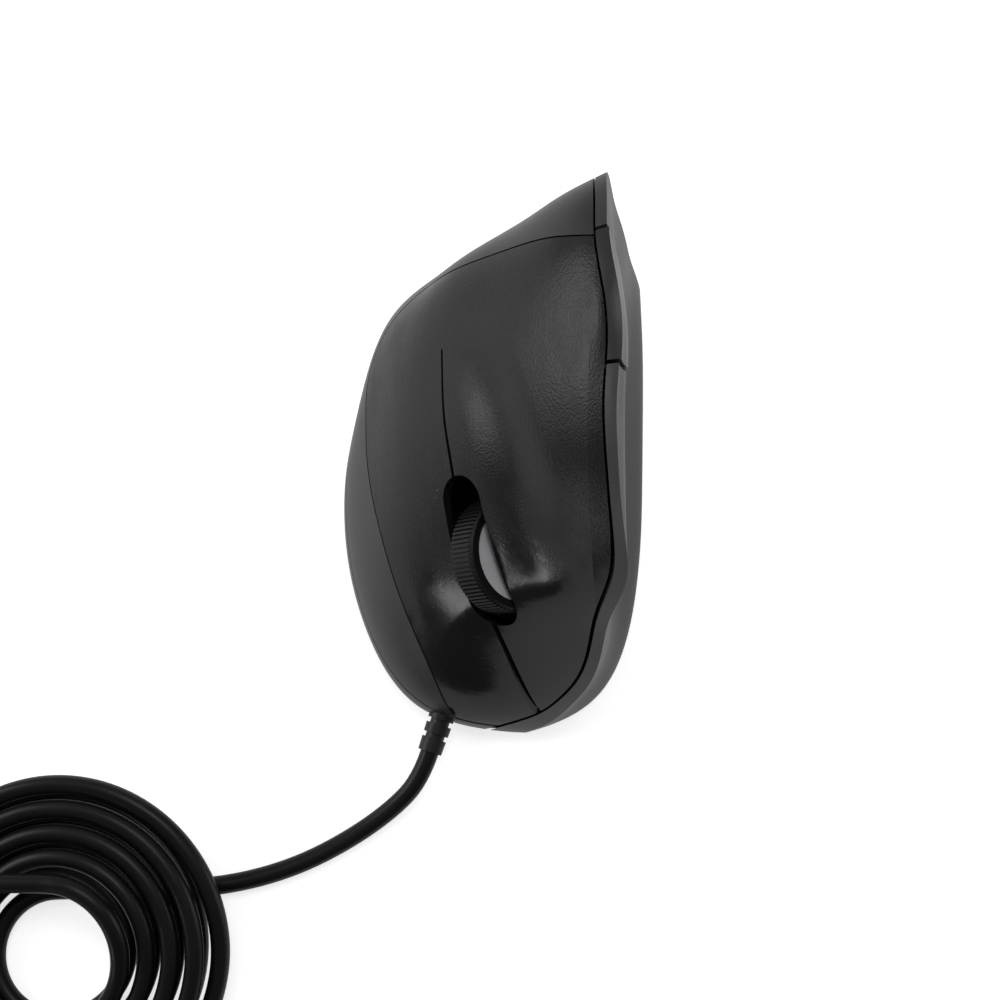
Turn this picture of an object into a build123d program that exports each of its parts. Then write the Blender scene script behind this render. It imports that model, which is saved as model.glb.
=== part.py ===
from build123d import *
from math import cos, hypot, pi, radians, sin, sqrt, tan
import os

os.makedirs("parts", exist_ok=True)

# Overall size of the body, without its cable
body_width = 69.6
body_length = 110.0
body_height = 73.0
half_width = body_width / 2
half_length = body_length / 2

# Walls and clearances
shell_wall = 2.0
thumb_wall = 2.4
floor_wall = 2.2
foot_height = 0.6
tray_height = 8.0
seam_gap = 0.35
ridge_gap = 0.45
seat_gap = 0.15
press_gap = 0.1
shaft_gap = 0.05
ledge_reach = 5.0
ledge_wall = 1.4
lip_reach = 2.0
overrun = 30.0

# The finger side slopes, and the keys, the wheel and their board are placed in its plane:
# x up the slope, y to the rear, z out of the panel
panel_slope = 50.0
panel_span = 70.0
key_angle = 0.5
hinge_y = 24.0
hinge_height = 34.0
plan_wall = shell_wall / sin(radians(panel_slope))

# Each level of the finger side is its height share, then plan points from front to rear as
# shares of the half width and the half length
finger_level_shares = [
    (0.000, [(1.402, -0.982), (0.483, -0.985), (0.023, -0.998), (-0.466, -0.880),
             (-0.868, -0.482), (-0.948, -0.073), (-0.868, 0.355), (-0.480, 0.709),
             (0.080, 0.855), (0.626, 0.900), (1.402, 0.900)]),
    (0.123, [(1.402, -0.967), (0.483, -0.973), (0.023, -0.982), (-0.471, -0.887),
             (-0.885, -0.491), (-0.994, -0.091), (-0.920, 0.364), (-0.552, 0.755),
             (0.080, 0.876), (0.626, 0.927), (1.402, 0.927)]),
    (0.274, [(1.402, -0.891), (0.483, -0.864), (0.023, -0.827), (-0.379, -0.709),
             (-0.681, -0.455), (-0.805, -0.073), (-0.799, 0.309), (-0.609, 0.755),
             (0.066, 0.902), (0.626, 0.949), (1.402, 0.945)]),
    (0.425, [(1.402, -0.800), (0.612, -0.745), (0.138, -0.664), (-0.207, -0.536),
             (-0.460, -0.309), (-0.580, -0.018), (-0.598, 0.327), (-0.422, 0.773),
             (0.124, 0.920), (0.612, 0.967), (1.402, 0.973)]),
    (0.575, [(1.402, -0.727), (0.626, -0.618), (0.267, -0.518), (0.009, -0.364),
             (-0.190, -0.164), (-0.310, 0.091), (-0.339, 0.382), (-0.221, 0.782),
             (0.195, 0.935), (0.598, 0.982), (1.402, 1.009)]),
    (0.712, [(1.402, -0.691), (0.635, -0.500), (0.382, -0.364), (0.172, -0.200),
             (0.023, -0.018), (-0.063, 0.200), (-0.075, 0.455), (0.029, 0.764),
             (0.276, 0.935), (0.583, 0.993), (1.402, 1.064)]),
    (0.836, [(1.402, -0.636), (0.641, -0.340), (0.477, -0.218), (0.333, -0.073),
             (0.236, 0.091), (0.181, 0.273), (0.178, 0.491), (0.247, 0.736),
             (0.376, 0.900), (0.569, 0.985), (1.402, 1.127)]),
    (0.925, [(1.402, -0.545), (0.638, -0.164), (0.526, -0.045), (0.451, 0.082),
             (0.402, 0.209), (0.385, 0.355), (0.388, 0.509), (0.417, 0.673),
             (0.477, 0.791), (0.583, 0.882), (1.402, 1.164)]),
    (0.977, [(1.402, -0.400), (0.655, -0.009), (0.586, 0.091), (0.546, 0.191),
             (0.523, 0.291), (0.514, 0.391), (0.517, 0.491), (0.537, 0.591),
             (0.580, 0.682), (0.670, 0.764), (1.402, 1.091)]),
    (1.016, [(1.402, -0.182), (0.856, 0.155), (0.784, 0.218), (0.741, 0.282),
             (0.718, 0.336), (0.713, 0.391), (0.718, 0.455), (0.741, 0.518),
             (0.784, 0.573), (0.856, 0.636), (1.402, 0.909)]),
]

# Each level of the thumb side, in the same way, from rear to front
thumb_level_shares = [
    (0.00, [(0.997, 1.200), (0.999, 0.920), (1.007, 0.660), (1.002, 0.360), (0.987, 0.050), (0.973, -0.170),
            (0.943, -0.370), (0.894, -0.550), (0.835, -0.680), (0.741, -0.800), (0.594, -0.900),
            (0.397, -0.970), (0.171, -1.015), (-0.174, -1.060), (-1.355, -1.150)]),
    (0.045, [(0.997, 1.200), (0.997, 0.920), (1.005, 0.660), (0.997, 0.360), (0.983, 0.050), (0.968, -0.170),
             (0.938, -0.370), (0.889, -0.550), (0.830, -0.680), (0.737, -0.800), (0.589, -0.900),
             (0.392, -0.970), (0.171, -1.015), (-0.174, -1.060), (-1.355, -1.150)]),
    (0.11, [(0.968, 1.200), (0.963, 0.930), (0.948, 0.660), (0.924, 0.360), (0.899, 0.050), (0.884, -0.170),
            (0.860, -0.370), (0.820, -0.550), (0.773, -0.680), (0.692, -0.790), (0.559, -0.885),
            (0.377, -0.965), (0.151, -1.015), (-0.174, -1.060), (-1.355, -1.150)]),
    (0.25, [(0.909, 1.200), (0.889, 0.940), (0.840, 0.660), (0.781, 0.360), (0.741, 0.050), (0.734, -0.170),
            (0.737, -0.370), (0.734, -0.550), (0.712, -0.660), (0.653, -0.760), (0.535, -0.865),
            (0.348, -0.960), (0.121, -1.015), (-0.174, -1.060), (-1.355, -1.150)]),
    (0.44, [(0.830, 1.200), (0.810, 0.955), (0.746, 0.660), (0.692, 0.360), (0.663, 0.050), (0.668, -0.170),
            (0.682, -0.370), (0.687, -0.550), (0.658, -0.680), (0.594, -0.780), (0.476, -0.880),
            (0.299, -0.960), (0.072, -1.015), (-0.223, -1.060), (-1.355, -1.150)]),
    (0.66, [(0.732, 1.200), (0.712, 0.970), (0.677, 0.660), (0.663, 0.360), (0.663, 0.050), (0.677, -0.170),
            (0.692, -0.370), (0.692, -0.520), (0.663, -0.650), (0.594, -0.760), (0.476, -0.860),
            (0.299, -0.950), (0.072, -1.010), (-0.223, -1.060), (-1.355, -1.150)]),
    (0.86, [(0.623, 1.200), (0.640, 0.980), (0.690, 0.660), (0.727, 0.360), (0.718, 0.050), (0.716, -0.170),
            (0.710, -0.370), (0.702, -0.520), (0.663, -0.650), (0.594, -0.760), (0.476, -0.860),
            (0.299, -0.950), (0.072, -1.010), (-0.223, -1.060), (-1.355, -1.150)]),
    (1.06, [(0.623, 1.200), (0.625, 0.980), (0.638, 0.660), (0.668, 0.360), (0.684, 0.050), (0.704, -0.170),
            (0.710, -0.370), (0.702, -0.520), (0.663, -0.650), (0.594, -0.760), (0.476, -0.860),
            (0.299, -0.950), (0.072, -1.010), (-0.223, -1.060), (-1.355, -1.150)]),
]

# The seam round the keys and their panel, as shares of the panel's span and the half length
seam_shares = [(1.05, 0.690), (0.950, 0.702), (0.80, 0.742), (0.64, 0.762), (0.48, 0.765), (0.26, 0.752),
               (0.085, 0.705), (-0.04, 0.600), (-0.100, 0.440), (-0.092, 0.280), (-0.072, 0.110),
               (-0.036, -0.060),
               (0.008, -0.240), (0.036, -0.410), (0.050, -0.560), (0.052, -0.700), (0.036, -0.840),
               (0.006, -0.960), (-0.030, -1.100)]
# The slit between the keys, the same way
slit_shares = [(0.358, 0.445), (0.360, 0.300), (0.364, 0.160), (0.374, 0.010), (0.372, -0.180),
               (0.364, -0.380), (0.350, -0.570), (0.328, -0.680), (0.295, -0.790), (0.250, -0.905),
               (0.190, -1.020)]
slit_rear = 0.55
slit_front = 1.25

# Wheel
wheel_radius = 12.6
tyre_width = 7.2
tyre_thickness = 2.3
rib_count = 80
rib_depth = 0.45
rib_share = 0.55
tyre_crown = 0.7
hub_recess = 0.35
axle_radius = 1.5
wheel_along = 26.8
wheel_y = -18.5
wheel_height = 19.8
slot_width = 10.0
slot_length = 30.4
slot_turn = 3.0

# Sloping key board and what stands on it
board_thickness = 1.6
key_board_height = 7.0
key_board_low = 8.0
key_board_high = 39.4
key_board_front = -33.0
key_board_rear = 12.0
board_notch_margin = 6.2
board_notch_rear = -4.0
switch_length = 12.8
switch_width = 5.8
switch_height = 6.5
switch_plunger_radius = 0.9
switch_plunger_height = 0.8
switch_y = -22.0
left_switch_along = 36.3
right_switch_along = 11.2
stem_size = 3.2
cradle_wall = 1.2
cradle_gap = 0.8
cradle_pivot_y = 2.0
cradle_pivot_height = 12.0
cradle_pin_radius = 1.0
cradle_boss_radius = 2.2
cradle_bar_front = -3.72
cradle_bar_width = 2.64
bracket_wall = 1.3
toe_y = -29.6
toe_along = 17.4
toe_length = 2.4
toe_arm_height = 16.0
tact_size = 6.0
tact_height = 3.5
tact_plunger_radius = 1.5
tact_plunger_height = 0.9
tact_travel = 0.75
tact_top = key_board_height + board_thickness + tact_height + tact_plunger_height
encoder_radius = 6.0
encoder_thickness = 0.8
encoder_along = 18.0
encoder_slots = 12
encoder_slot_place = 4.5
encoder_slot_length = 1.8
encoder_slot_width = 1.02
encoder_gap = 0.8
eye_thickness = 1.4
eye_width = 4.6
eye_height = 9.2
eye_y = -12.6

# Frame that carries the key board
frame_x_low = 6.0
frame_x_high = 16.6
frame_rib = 2.0
frame_rib_front = -24.0
frame_rib_rear = 8.0

# Main board
main_board_z = 6.4
main_board_thickness = 1.2
main_board_left = -22.5
main_board_right = 4.0
main_board_front = -32.5
main_board_rear = 27.0
post_radius = 2.6
screw_radius = 1.0
screw_head_radius = 1.9
screw_head_height = 1.3
# Places in plan are shares of the half width and the half length
post_shares = [(-0.555, -0.445), (-0.555, 0.409), (0.017, 0.409), (0.017, -0.527)]
sensor_x = -11.0
sensor_y = 0.0
sensor_size = 9.9
sensor_height = 2.6
sensor_hole = 5.94
sensor_edge = 0.39
lens_length = 19.0
lens_width = 13.0
lens_thickness = 2.0
lens_radius = 2.6
lens_sink = 1.32
window_length = 11.0
window_width = 8.0
lamp_radius = 2.5
lamp_length = 6.5
lamp_tip = 2.0
lamp_y = 7.92
header_length = 12.0
header_width = 4.6
header_height = 4.4
header_x = -7.9
header_y = -28.0
header_wall = 0.8

# Side board behind the thumb buttons
side_board_x = 13.8
side_board_front = -3.0
side_board_rear = 38.0
side_board_low = 45.0
side_board_high = 55.0
side_button_z = 51.0
side_button_length = 17.5
side_button_height = 7.2
forward_button_y = 6.0
back_button_y = 25.0
button_gap = 0.4
button_stand = 0.8
side_stem_radius = 1.6
resolution_gap = 0.75
resolution_tilt = 15.0
resolution_stand = 0.4
resolution_y = 24.0
resolution_switch_size = 4.5
resolution_switch_x = 18.0
resolution_switch_z = 56.0
resolution_arm_drop = 7.0
shelf_thickness = 1.2
shelf_reach = 4.0
shelf_half = 2.7
side_button_names = ["forward_button", "back_button"]
side_button_ys = [forward_button_y, back_button_y]

# The leaf-shaped resolution button seen from the thumb side, as shares of half length and height
leaf_shares = [(0.705, 0.950), (0.600, 0.893), (0.500, 0.866), (0.370, 0.848), (0.300, 0.858),
               (0.255, 0.886), (0.236, 0.930), (0.236, 1.040)]
leaf_top_share = 1.08

# Screws that hold the casing to the tray
case_screw_radius = 1.3
case_screw_head = 2.4
case_screw_sink = 1.2
case_screw_length = 16.0
cross_depth_share = 0.6
cross_reach_share = 0.7
cross_width_share = 0.2
boss_radius = 3.0
palm_boss_height = 16.0
thumb_boss_height = 27.0
palm_boss_shares = [(0.000, 0.745), (-0.724, -0.327)]
thumb_boss_shares = [(0.718, 0.545), (0.603, -0.364)]

# Glide feet: centre, and the angle at which each is turned
foot_length = 26.0
foot_width = 7.0
foot_shares = [(0.000, -0.818, 0), (0.120, 0.700, 0), (0.790, 0.091, 90)]
foot_corner_share = 0.4

# Cable: its sleeve at the casing, the free lead, the piled coil and the tail
cable_diameter = 4.2
cable_radius = cable_diameter / 2
inner_cable_radius = 0.9
relief_radius = 3.3
relief_tip_radius = 2.75
relief_groove = 1.1
relief_groove_depth = 0.7
relief_groove_shares = [0.567, 0.757]
relief_height = 4.6
collar_width = 8.0
collar_length = 2.4
relief_start = (-9.6, -43.4)
inner_cable_points = [(-9.6, -43.4, 4.6), (-8.3, -39.4, 4.6), (-7.9, -34.6, 7.9), (-7.9, -31.1, 9.8)]
lead_points = [(-15.2, -60.0, 4.6), (-17.3, -66.2, 4.2), (-23.6, -72.8, 3.0), (-33.4, -79.6, 2.1),
               (-45.0, -85.4, 2.1), (-57.5, -89.0, 2.1), (-70.0, -90.4, 2.1), (-82.0, -90.6, 2.1),
               (-93.8, -90.6, 2.1)]
coil_start = (-98.0, -90.6)
coil_pitch = 5.3
coil_rise = 4.9
coil_inner_radius = 12.6
coil_steps = 18
coil_last_steps = 16
coil_outer_radius = coil_inner_radius + coil_pitch * coil_steps / 4
# The loops are humped where they cross the lead
hump_height = 5.3
hump_angle = 50.0
hump_spread = 120.0
coil_step = 0.5
coil_last = coil_steps + 2 + coil_last_steps
# The last turn climbs over the others to where the tail leaves
coil_end_lift = 3.8
tail_points = [(-112.0, -87.95, 14.775), (-123.5, -89.2, 13.6), (-135.0, -92.4, 11.6), (-145.5, -98.6, 5.4),
               (-151.8, -108.0, 2.1), (-154.6, -119.0, 2.1), (-155.0, -129.5, 4.2), (-155.0, -138.5, 4.2)]

# Plug at the far end of the cable
plug_width = 15.6
plug_height = 8.4
plug_length = 21.0
plug_corner = 2.4
plug_sleeve_radius = 3.6
plug_sleeve_length = 7.0
plug_shell_width = 12.0
plug_shell_height = 4.5
plug_shell_length = 11.8
plug_shell_wall = 0.32
plug_block_height = 1.9
plug_contact_width = 1.0
plug_contact_height = 0.25
plug_contact_count = 4
plug_window = 2.5

# Joining and drawing of cords
bend_share = 0.45
body_gap_samples = 4


def stacked_form(level_shares, inset=0.0, closing_corners=()):
    """A solid through the plan outlines of all levels, drawn in by the inset."""
    with BuildPart() as form:
        for height_share, plan_shares in level_shares:
            places = [Vector(x * half_width, y * half_length) for x, y in plan_shares]
            before = [places[0]] + places[:-1]
            after = places[1:] + [places[-1]]
            runs = [(b - a).normalized() for a, b in zip(before, after)]
            inner = [p + Vector(run.Y, -run.X) * inset for p, run in zip(places, runs)]
            with BuildSketch(Plane.XY.offset(height_share * body_height)):
                with BuildLine():
                    edge = Spline(*inner)
                    Polyline(edge @ 1, *closing_corners, edge @ 0)
                make_face()
        loft()
    return form.part


def finger_form(inset):
    """The solid under the finger side's surface."""
    return stacked_form(finger_level_shares, inset)


def thumb_form(inset):
    """The solid behind the thumb side's surface."""
    return stacked_form(thumb_level_shares, inset, [(-1.4 * half_width, 1.2 * half_length)])


def panel_plane(along=0.0, y=0.0, height=0.0):
    """The panel's plane, moved in its own directions."""
    slope = radians(panel_slope)
    up_slope = Vector(cos(slope), 0, sin(slope))
    outward = Vector(-sin(slope), 0, cos(slope))
    return Plane(origin=up_slope * along + Vector(0, y, 0) + outward * height, x_dir=up_slope, z_dir=outward)


def block(low, high, plane=Plane.XY):
    """A box between two corners given in the plane's directions."""
    sizes = [b - a for a, b in zip(low, high)]
    middle = [(a + b) / 2 for a, b in zip(low, high)]
    with BuildPart(plane) as made:
        with Locations(tuple(middle)):
            Box(*sizes)
    return made.part


def rod(plane, radius, length):
    """A round bar that stands on a plane."""
    with BuildPart() as made:
        with BuildSketch(plane):
            Circle(radius)
        extrude(amount=length)
    return made.part


def panel_places(shares):
    """Places on the panel from shares of its span and the half length."""
    return [(along * panel_span, y * half_length) for along, y in shares]


def seam_prism(shrink):
    """Everything inside the seam, seen square to the panel, drawn in by a gap."""
    places = [Vector(*place) for place in panel_places(seam_shares)]
    before = [places[0]] + places[:-1]
    after = places[1:] + [places[-1]]
    runs = [(b - a).normalized() for a, b in zip(before, after)]
    moved = [p - Vector(run.Y, -run.X) * shrink for p, run in zip(places, runs)]
    with BuildPart() as prism:
        with BuildSketch(panel_plane(height=-overrun / 2)):
            with BuildLine():
                edge = Spline(*moved)
                beyond = panel_span + overrun
                Polyline(edge @ 1, (beyond, moved[-1].Y), (beyond, moved[0].Y), edge @ 0)
            make_face()
        extrude(amount=overrun * 3)
    return prism.part


def slit_prism():
    """The slit between the keys, wider at the front, with the obround opening for the wheel."""
    places = panel_places(slit_shares)
    steps = len(places) - 1
    halves = [(slit_rear + (slit_front - slit_rear) * i / steps) / 2 for i in range(steps + 1)]
    with BuildPart() as prism:
        with BuildSketch(panel_plane(height=-overrun / 2)):
            with BuildLine():
                low = Spline(*[(x - half, y) for (x, y), half in zip(places, halves)])
                high = Spline(*[(x + half, y) for (x, y), half in zip(places, halves)])
                Line(low @ 0, high @ 0)
                Line(low @ 1, high @ 1)
            make_face()
        extrude(amount=overrun * 3)
        with BuildSketch(panel_plane(wheel_along, wheel_y, wheel_height - wheel_radius)):
            SlotOverall(slot_length, slot_width, rotation=90 - slot_turn)
        extrude(amount=overrun * 2)
    return prism.part


def side_prism(places, grow):
    """Everything behind an outline drawn on the thumb side, grown by a gap."""
    points = [Vector(*place) for place in places]
    before = [points[0]] + points[:-1]
    after = points[1:] + [points[-1]]
    runs = [(b - a).normalized() for a, b in zip(before, after)]
    moved = [p - Vector(run.Y, -run.X) * grow for p, run in zip(points, runs)]
    with BuildPart() as prism:
        with BuildSketch(Plane.YZ):
            with BuildLine():
                edge = Spline(*moved)
                Line(edge @ 1, edge @ 0)
            make_face()
        extrude(amount=half_width * 2)
    return prism.part


def side_button_prism(y, grow):
    """Everything behind one of the long thumb buttons."""
    with BuildPart() as prism:
        with BuildSketch(Plane.YZ):
            with Locations((y, side_button_z)):
                SlotOverall(side_button_length + 2 * grow, side_button_height + 2 * grow)
        extrude(amount=half_width * 2)
    return prism.part


def save(part, name):
    """Labels a finished piece and writes it."""
    part.label = name
    export_step(part, "parts/" + name + ".step")


def cord(points, radius, name):
    """A round cord along straight runs that tangent arcs join."""
    places = [Vector(*point) for point in points]
    bends = []
    for before, here, after in zip(places, places[1:], places[2:]):
        turn = radians((here - before).get_angle(after - here))
        bends.append(bend_share * min((here - before).length, (after - here).length) / tan(turn / 2))
    with BuildPart() as made:
        with BuildLine() as route:
            FilletPolyline(*places, radius=bends)
        path = route.wires()[0]
        with BuildSketch(Plane(origin=path @ 0, z_dir=path % 0)):
            Circle(radius)
        sweep(path=path)
    print(name, "bend radii", [round(bend, 1) for bend in bends], "length", round(path.length, 1),
          "volume share", round(made.part.volume / (pi * radius * radius * path.length), 4))
    save(made.part, name)


def smooth_step(share):
    """From 0 to 1, level at both ends."""
    share = min(max(share, 0), 1)
    return share * share * (3 - 2 * share)


def coil_place(step):
    """The coil's centre line after so many quarter turns: out on the floor, up, and in again."""
    period = coil_steps + 2
    outward = step < period
    quarter = step if outward else step - period
    change = min(quarter, 2 * coil_steps + 2 - quarter) * coil_pitch / 4
    radius = coil_inner_radius + change if outward else coil_outer_radius - change
    angle = 90 + 90 * step
    off = (angle - hump_angle + 180) % 360 - 180
    hump = hump_height * (1 + cos(pi * min(abs(off) / hump_spread, 1))) / 2 * smooth_step(step / 2)
    height = cable_radius + hump + coil_rise * smooth_step((step - coil_steps) / 2)
    height += coil_end_lift * smooth_step((step - coil_last + 2) / 2)
    return Vector(coil_start[0] + radius * cos(radians(angle)),
                  coil_start[1] - coil_inner_radius + radius * sin(radians(angle)), height)


def coil_heading(step):
    """The direction in which the cord runs there, level at both ends of the coil."""
    ahead = coil_place(step + coil_step / 8) - coil_place(step - coil_step / 8)
    level = step in (0, coil_last)
    angle = radians(90 + 90 * step)
    flat = hypot(ahead.X, ahead.Y)
    return Vector(-sin(angle) * flat, cos(angle) * flat, 0 if level else ahead.Z).normalized()


# Forms that the casing pieces share
finger_outer = finger_form(0)
thumb_outer = thumb_form(0)
thumb_inner = thumb_form(thumb_wall)
thumb_gap = thumb_form(thumb_wall + ridge_gap)
skin = (finger_outer - finger_form(plan_wall)) & thumb_gap
tray_hollow = finger_form(plan_wall) & thumb_form(thumb_wall + ridge_gap + shell_wall)
seam_hole = seam_prism(0)
seam_plug = seam_prism(seam_gap)
all_low = (-half_width * 2, -half_length * 2)
all_high = (half_width * 2, half_length * 2)
above_feet = block((*all_low, foot_height), (*all_high, body_height * 2))
above_tray = block((*all_low, tray_height + seam_gap), (*all_high, body_height * 2))
above_lip = block((*all_low, tray_height + ridge_gap + seam_gap), (*all_high, body_height * 2))
cavity_floor = foot_height + floor_wall
leaf_places = [(y * half_length, z * body_height) for y, z in leaf_shares]
leaf_places = [(leaf_places[0][0], leaf_top_share * body_height)] + leaf_places
relief_run = Vector(lead_points[0][0] - relief_start[0], lead_points[0][1] - relief_start[1], 0).normalized()
relief_length = hypot(lead_points[0][0] - relief_start[0], lead_points[0][1] - relief_start[1])
relief_plane = Plane((*relief_start, relief_height), x_dir=(0, 0, 1), z_dir=relief_run)

# Places that several pieces share
half_finger = finger_form(plan_wall / 2)
half_thumb = thumb_form(thumb_wall / 2)


def plan_places(shares):
    """Places in plan from shares of the half width and the half length."""
    return [(x * half_width, y * half_length) for x, y in shares]


main_post_places = plan_places(post_shares)
palm_boss_places = plan_places(palm_boss_shares)
thumb_boss_places = plan_places(thumb_boss_shares)
boss_foot = cavity_floor + seat_gap
palm_bosses = [rod(Plane((x, y, boss_foot)), boss_radius, palm_boss_height) for x, y in palm_boss_places]
thumb_bosses = [rod(Plane((x, y, boss_foot)), boss_radius, thumb_boss_height) for x, y in thumb_boss_places]
rear_rib = block((palm_boss_places[0][0] - frame_rib / 2, palm_boss_places[0][1], tray_height + seam_gap),
                 (palm_boss_places[0][0] + frame_rib / 2, half_length, cavity_floor + palm_boss_height))
screw_places = palm_boss_places + thumb_boss_places
screw_holes = [rod(Plane((x, y, 0)), case_screw_radius + seat_gap, case_screw_length) for x, y in screw_places]
head_depth = foot_height + case_screw_sink
head_holes = [rod(Plane((x, y, 0)), case_screw_head + seat_gap, head_depth) for x, y in screw_places]
key_board_top = key_board_height + board_thickness
plunger_top = key_board_top + switch_height + switch_plunger_height

# Base tray
with BuildPart() as base_tray:
    add(finger_outer & thumb_gap & block((*all_low, foot_height), (*all_high, tray_height)))
    add(tray_hollow & block((*all_low, cavity_floor), (*all_high, body_height)), mode=Mode.SUBTRACT)
    for x, y in main_post_places:
        add(rod(Plane((x, y, foot_height)), post_radius, main_board_z - foot_height))
        add(rod(Plane((x, y, cavity_floor)), screw_radius, main_board_z), mode=Mode.SUBTRACT)
    for hole in screw_holes + head_holes:
        add(hole, mode=Mode.SUBTRACT)
    add(rod(relief_plane, relief_radius + seat_gap, relief_length * 2), mode=Mode.SUBTRACT)
    add(block((sensor_x - window_length / 2, sensor_y - window_width / 2, 0),
              (sensor_x + window_length / 2, sensor_y + window_width / 2, tray_height)), mode=Mode.SUBTRACT)
save(base_tray.part, "base_tray")

# Palm shell
with BuildPart() as palm_shell:
    add((skin & above_tray) - seam_hole)
    for boss in palm_bosses + [rear_rib]:
        add(boss & half_finger & thumb_gap)
    for hole in screw_holes:
        add(hole, mode=Mode.SUBTRACT)
save(palm_shell.part, "palm_shell")

# Button panel with the ledge that the keys' rear ends lie on and the palm shell's edge covers
plate = skin & above_lip & seam_plug
span_high = panel_span + overrun
behind_hinge = block((-overrun, hinge_y + seat_gap, -overrun), (span_high, all_high[1], overrun * 3),
                     panel_plane())
before_hinge = block((-overrun, all_low[1], -overrun), (span_high, hinge_y - seat_gap, overrun * 3),
                     panel_plane())
near_hinge = block((-overrun, hinge_y - ledge_reach, -overrun), (span_high, hinge_y + ledge_reach, overrun * 3),
                   panel_plane())
behind_keys = block((-overrun, hinge_y - ledge_reach, -overrun), (span_high, all_high[1], overrun * 3),
                    panel_plane())
ledge_base = finger_form(plan_wall + seat_gap + ledge_wall)
ledge_rim = thumb_form(thumb_wall + ridge_gap + ledge_wall)
ledge_join = near_hinge & behind_hinge & seam_prism(seam_gap + ledge_wall) & ledge_rim
with BuildPart() as button_panel:
    add(plate & behind_hinge)
    add((finger_form(plan_wall + seat_gap) - ledge_base) & behind_keys & seam_prism(-lip_reach) & ledge_rim)
    add((finger_outer - ledge_base) & ledge_join)
save(button_panel.part, "button_panel")

# Keys
key_swing = Axis(panel_plane(0, hinge_y, hinge_height).origin, panel_plane().x_dir)
keys = ((plate & before_hinge) & thumb_gap.rotate(key_swing, -key_angle)) - slit_prism()
key_blanks = sorted(keys.solids(), key=lambda solid: solid.volume)[-2:]
key_blanks = sorted(key_blanks, key=lambda solid: panel_plane().to_local_coords(solid.center()).X)
key_names = ["right_key", "left_key"]
switch_alongs = [right_switch_along, left_switch_along]
for name, blank, along in zip(key_names, key_blanks, switch_alongs):
    with BuildPart() as key:
        add(blank)
        stem = block((along - stem_size / 2, switch_y - stem_size / 2, plunger_top + press_gap),
                     (along + stem_size / 2, switch_y + stem_size / 2, overrun * 3), panel_plane())
        add(stem & half_finger)
    save(key.part, name)

# Thumb shell and its buttons
side_band = (thumb_outer - thumb_inner) & finger_outer & above_feet
for y in side_button_ys:
    side_band = side_band - side_button_prism(y, button_gap)
side_band = side_band - side_prism(leaf_places, resolution_gap)
for boss in thumb_bosses:
    side_band = side_band + (boss & half_thumb & finger_outer)
with BuildPart() as thumb_shell:
    add(side_band)
    for hole in screw_holes[len(palm_boss_places):]:
        add(hole, mode=Mode.SUBTRACT)
save(thumb_shell.part, "thumb_shell")

side_switch_top = side_board_x + board_thickness + tact_height + tact_plunger_height
for name, y in zip(side_button_names, side_button_ys):
    with BuildPart() as side_button:
        add((thumb_form(-button_stand) - thumb_inner) & side_button_prism(y, 0))
        add(rod(Plane((side_switch_top + press_gap, y, side_button_z), z_dir=(1, 0, 0)), side_stem_radius,
                half_width) & half_thumb)
    save(side_button.part, name)

resolution_down = Vector(-sin(radians(resolution_tilt)), 0, -cos(radians(resolution_tilt)))
resolution_seat = Vector(resolution_switch_x, resolution_y, resolution_switch_z)
resolution_plane = Plane(resolution_seat, x_dir=(0, 1, 0), z_dir=-resolution_down)
resolution_plunger_top = tact_height + tact_plunger_height
with BuildPart() as resolution_button:
    add((thumb_form(-resolution_stand) - thumb_inner) & finger_outer & side_prism(leaf_places, 0))
    arm_low = resolution_seat.Z + resolution_arm_drop
    add(block((resolution_switch_x - stem_size / 2, resolution_y - stem_size / 2, arm_low),
              (half_width, resolution_y + stem_size / 2, arm_low + stem_size / 2)) & half_thumb)
    add(rod(resolution_plane.offset(resolution_plunger_top + press_gap), side_stem_radius,
            resolution_arm_drop - resolution_plunger_top))
save(resolution_button.part, "resolution_button")

# Glide feet and casing screws
with BuildPart() as glide_feet:
    for x_share, y_share, turn in foot_shares:
        with BuildSketch(Plane((x_share * half_width, y_share * half_length, 0))):
            RectangleRounded(foot_length, foot_width, foot_width * foot_corner_share, rotation=turn)
    extrude(amount=foot_height)
save(glide_feet.part, "glide_feet")

case_screw_reach = case_screw_length - foot_height - press_gap * 4
cross_depth = foot_height + case_screw_sink * cross_depth_share
cross_reach = case_screw_head * cross_reach_share
cross_half = case_screw_radius * cross_width_share
with BuildPart() as case_screws:
    for x, y in screw_places:
        add(rod(Plane((x, y, foot_height + seat_gap)), case_screw_head, case_screw_sink - seat_gap))
        add(rod(Plane((x, y, foot_height + seat_gap)), case_screw_radius, case_screw_reach))
        for across, along in ((cross_reach, cross_half), (cross_half, cross_reach)):
            add(block((x - across, y - along, 0), (x + across, y + along, cross_depth)), mode=Mode.SUBTRACT)
save(case_screws.part, "case_screws")

# Main board, its screws, the sensor, the lens and the lamp
main_board_top = main_board_z + main_board_thickness
with BuildPart() as main_board:
    add(block((main_board_left, main_board_front, main_board_z),
              (main_board_right, main_board_rear, main_board_top)))
    fillet(main_board.edges().filter_by(Axis.Z), post_radius)
    for x, y in main_post_places:
        add(rod(Plane((x, y, 0)), screw_radius + seat_gap, body_height), mode=Mode.SUBTRACT)
    for x, y in screw_places:
        add(rod(Plane((x, y, 0)), boss_radius + seat_gap * 2, body_height), mode=Mode.SUBTRACT)
    add(block((sensor_x - sensor_hole / 2, sensor_y - sensor_hole / 2, 0),
              (sensor_x + sensor_hole / 2, sensor_y + sensor_hole / 2, body_height)), mode=Mode.SUBTRACT)
save(main_board.part, "main_board")

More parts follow.
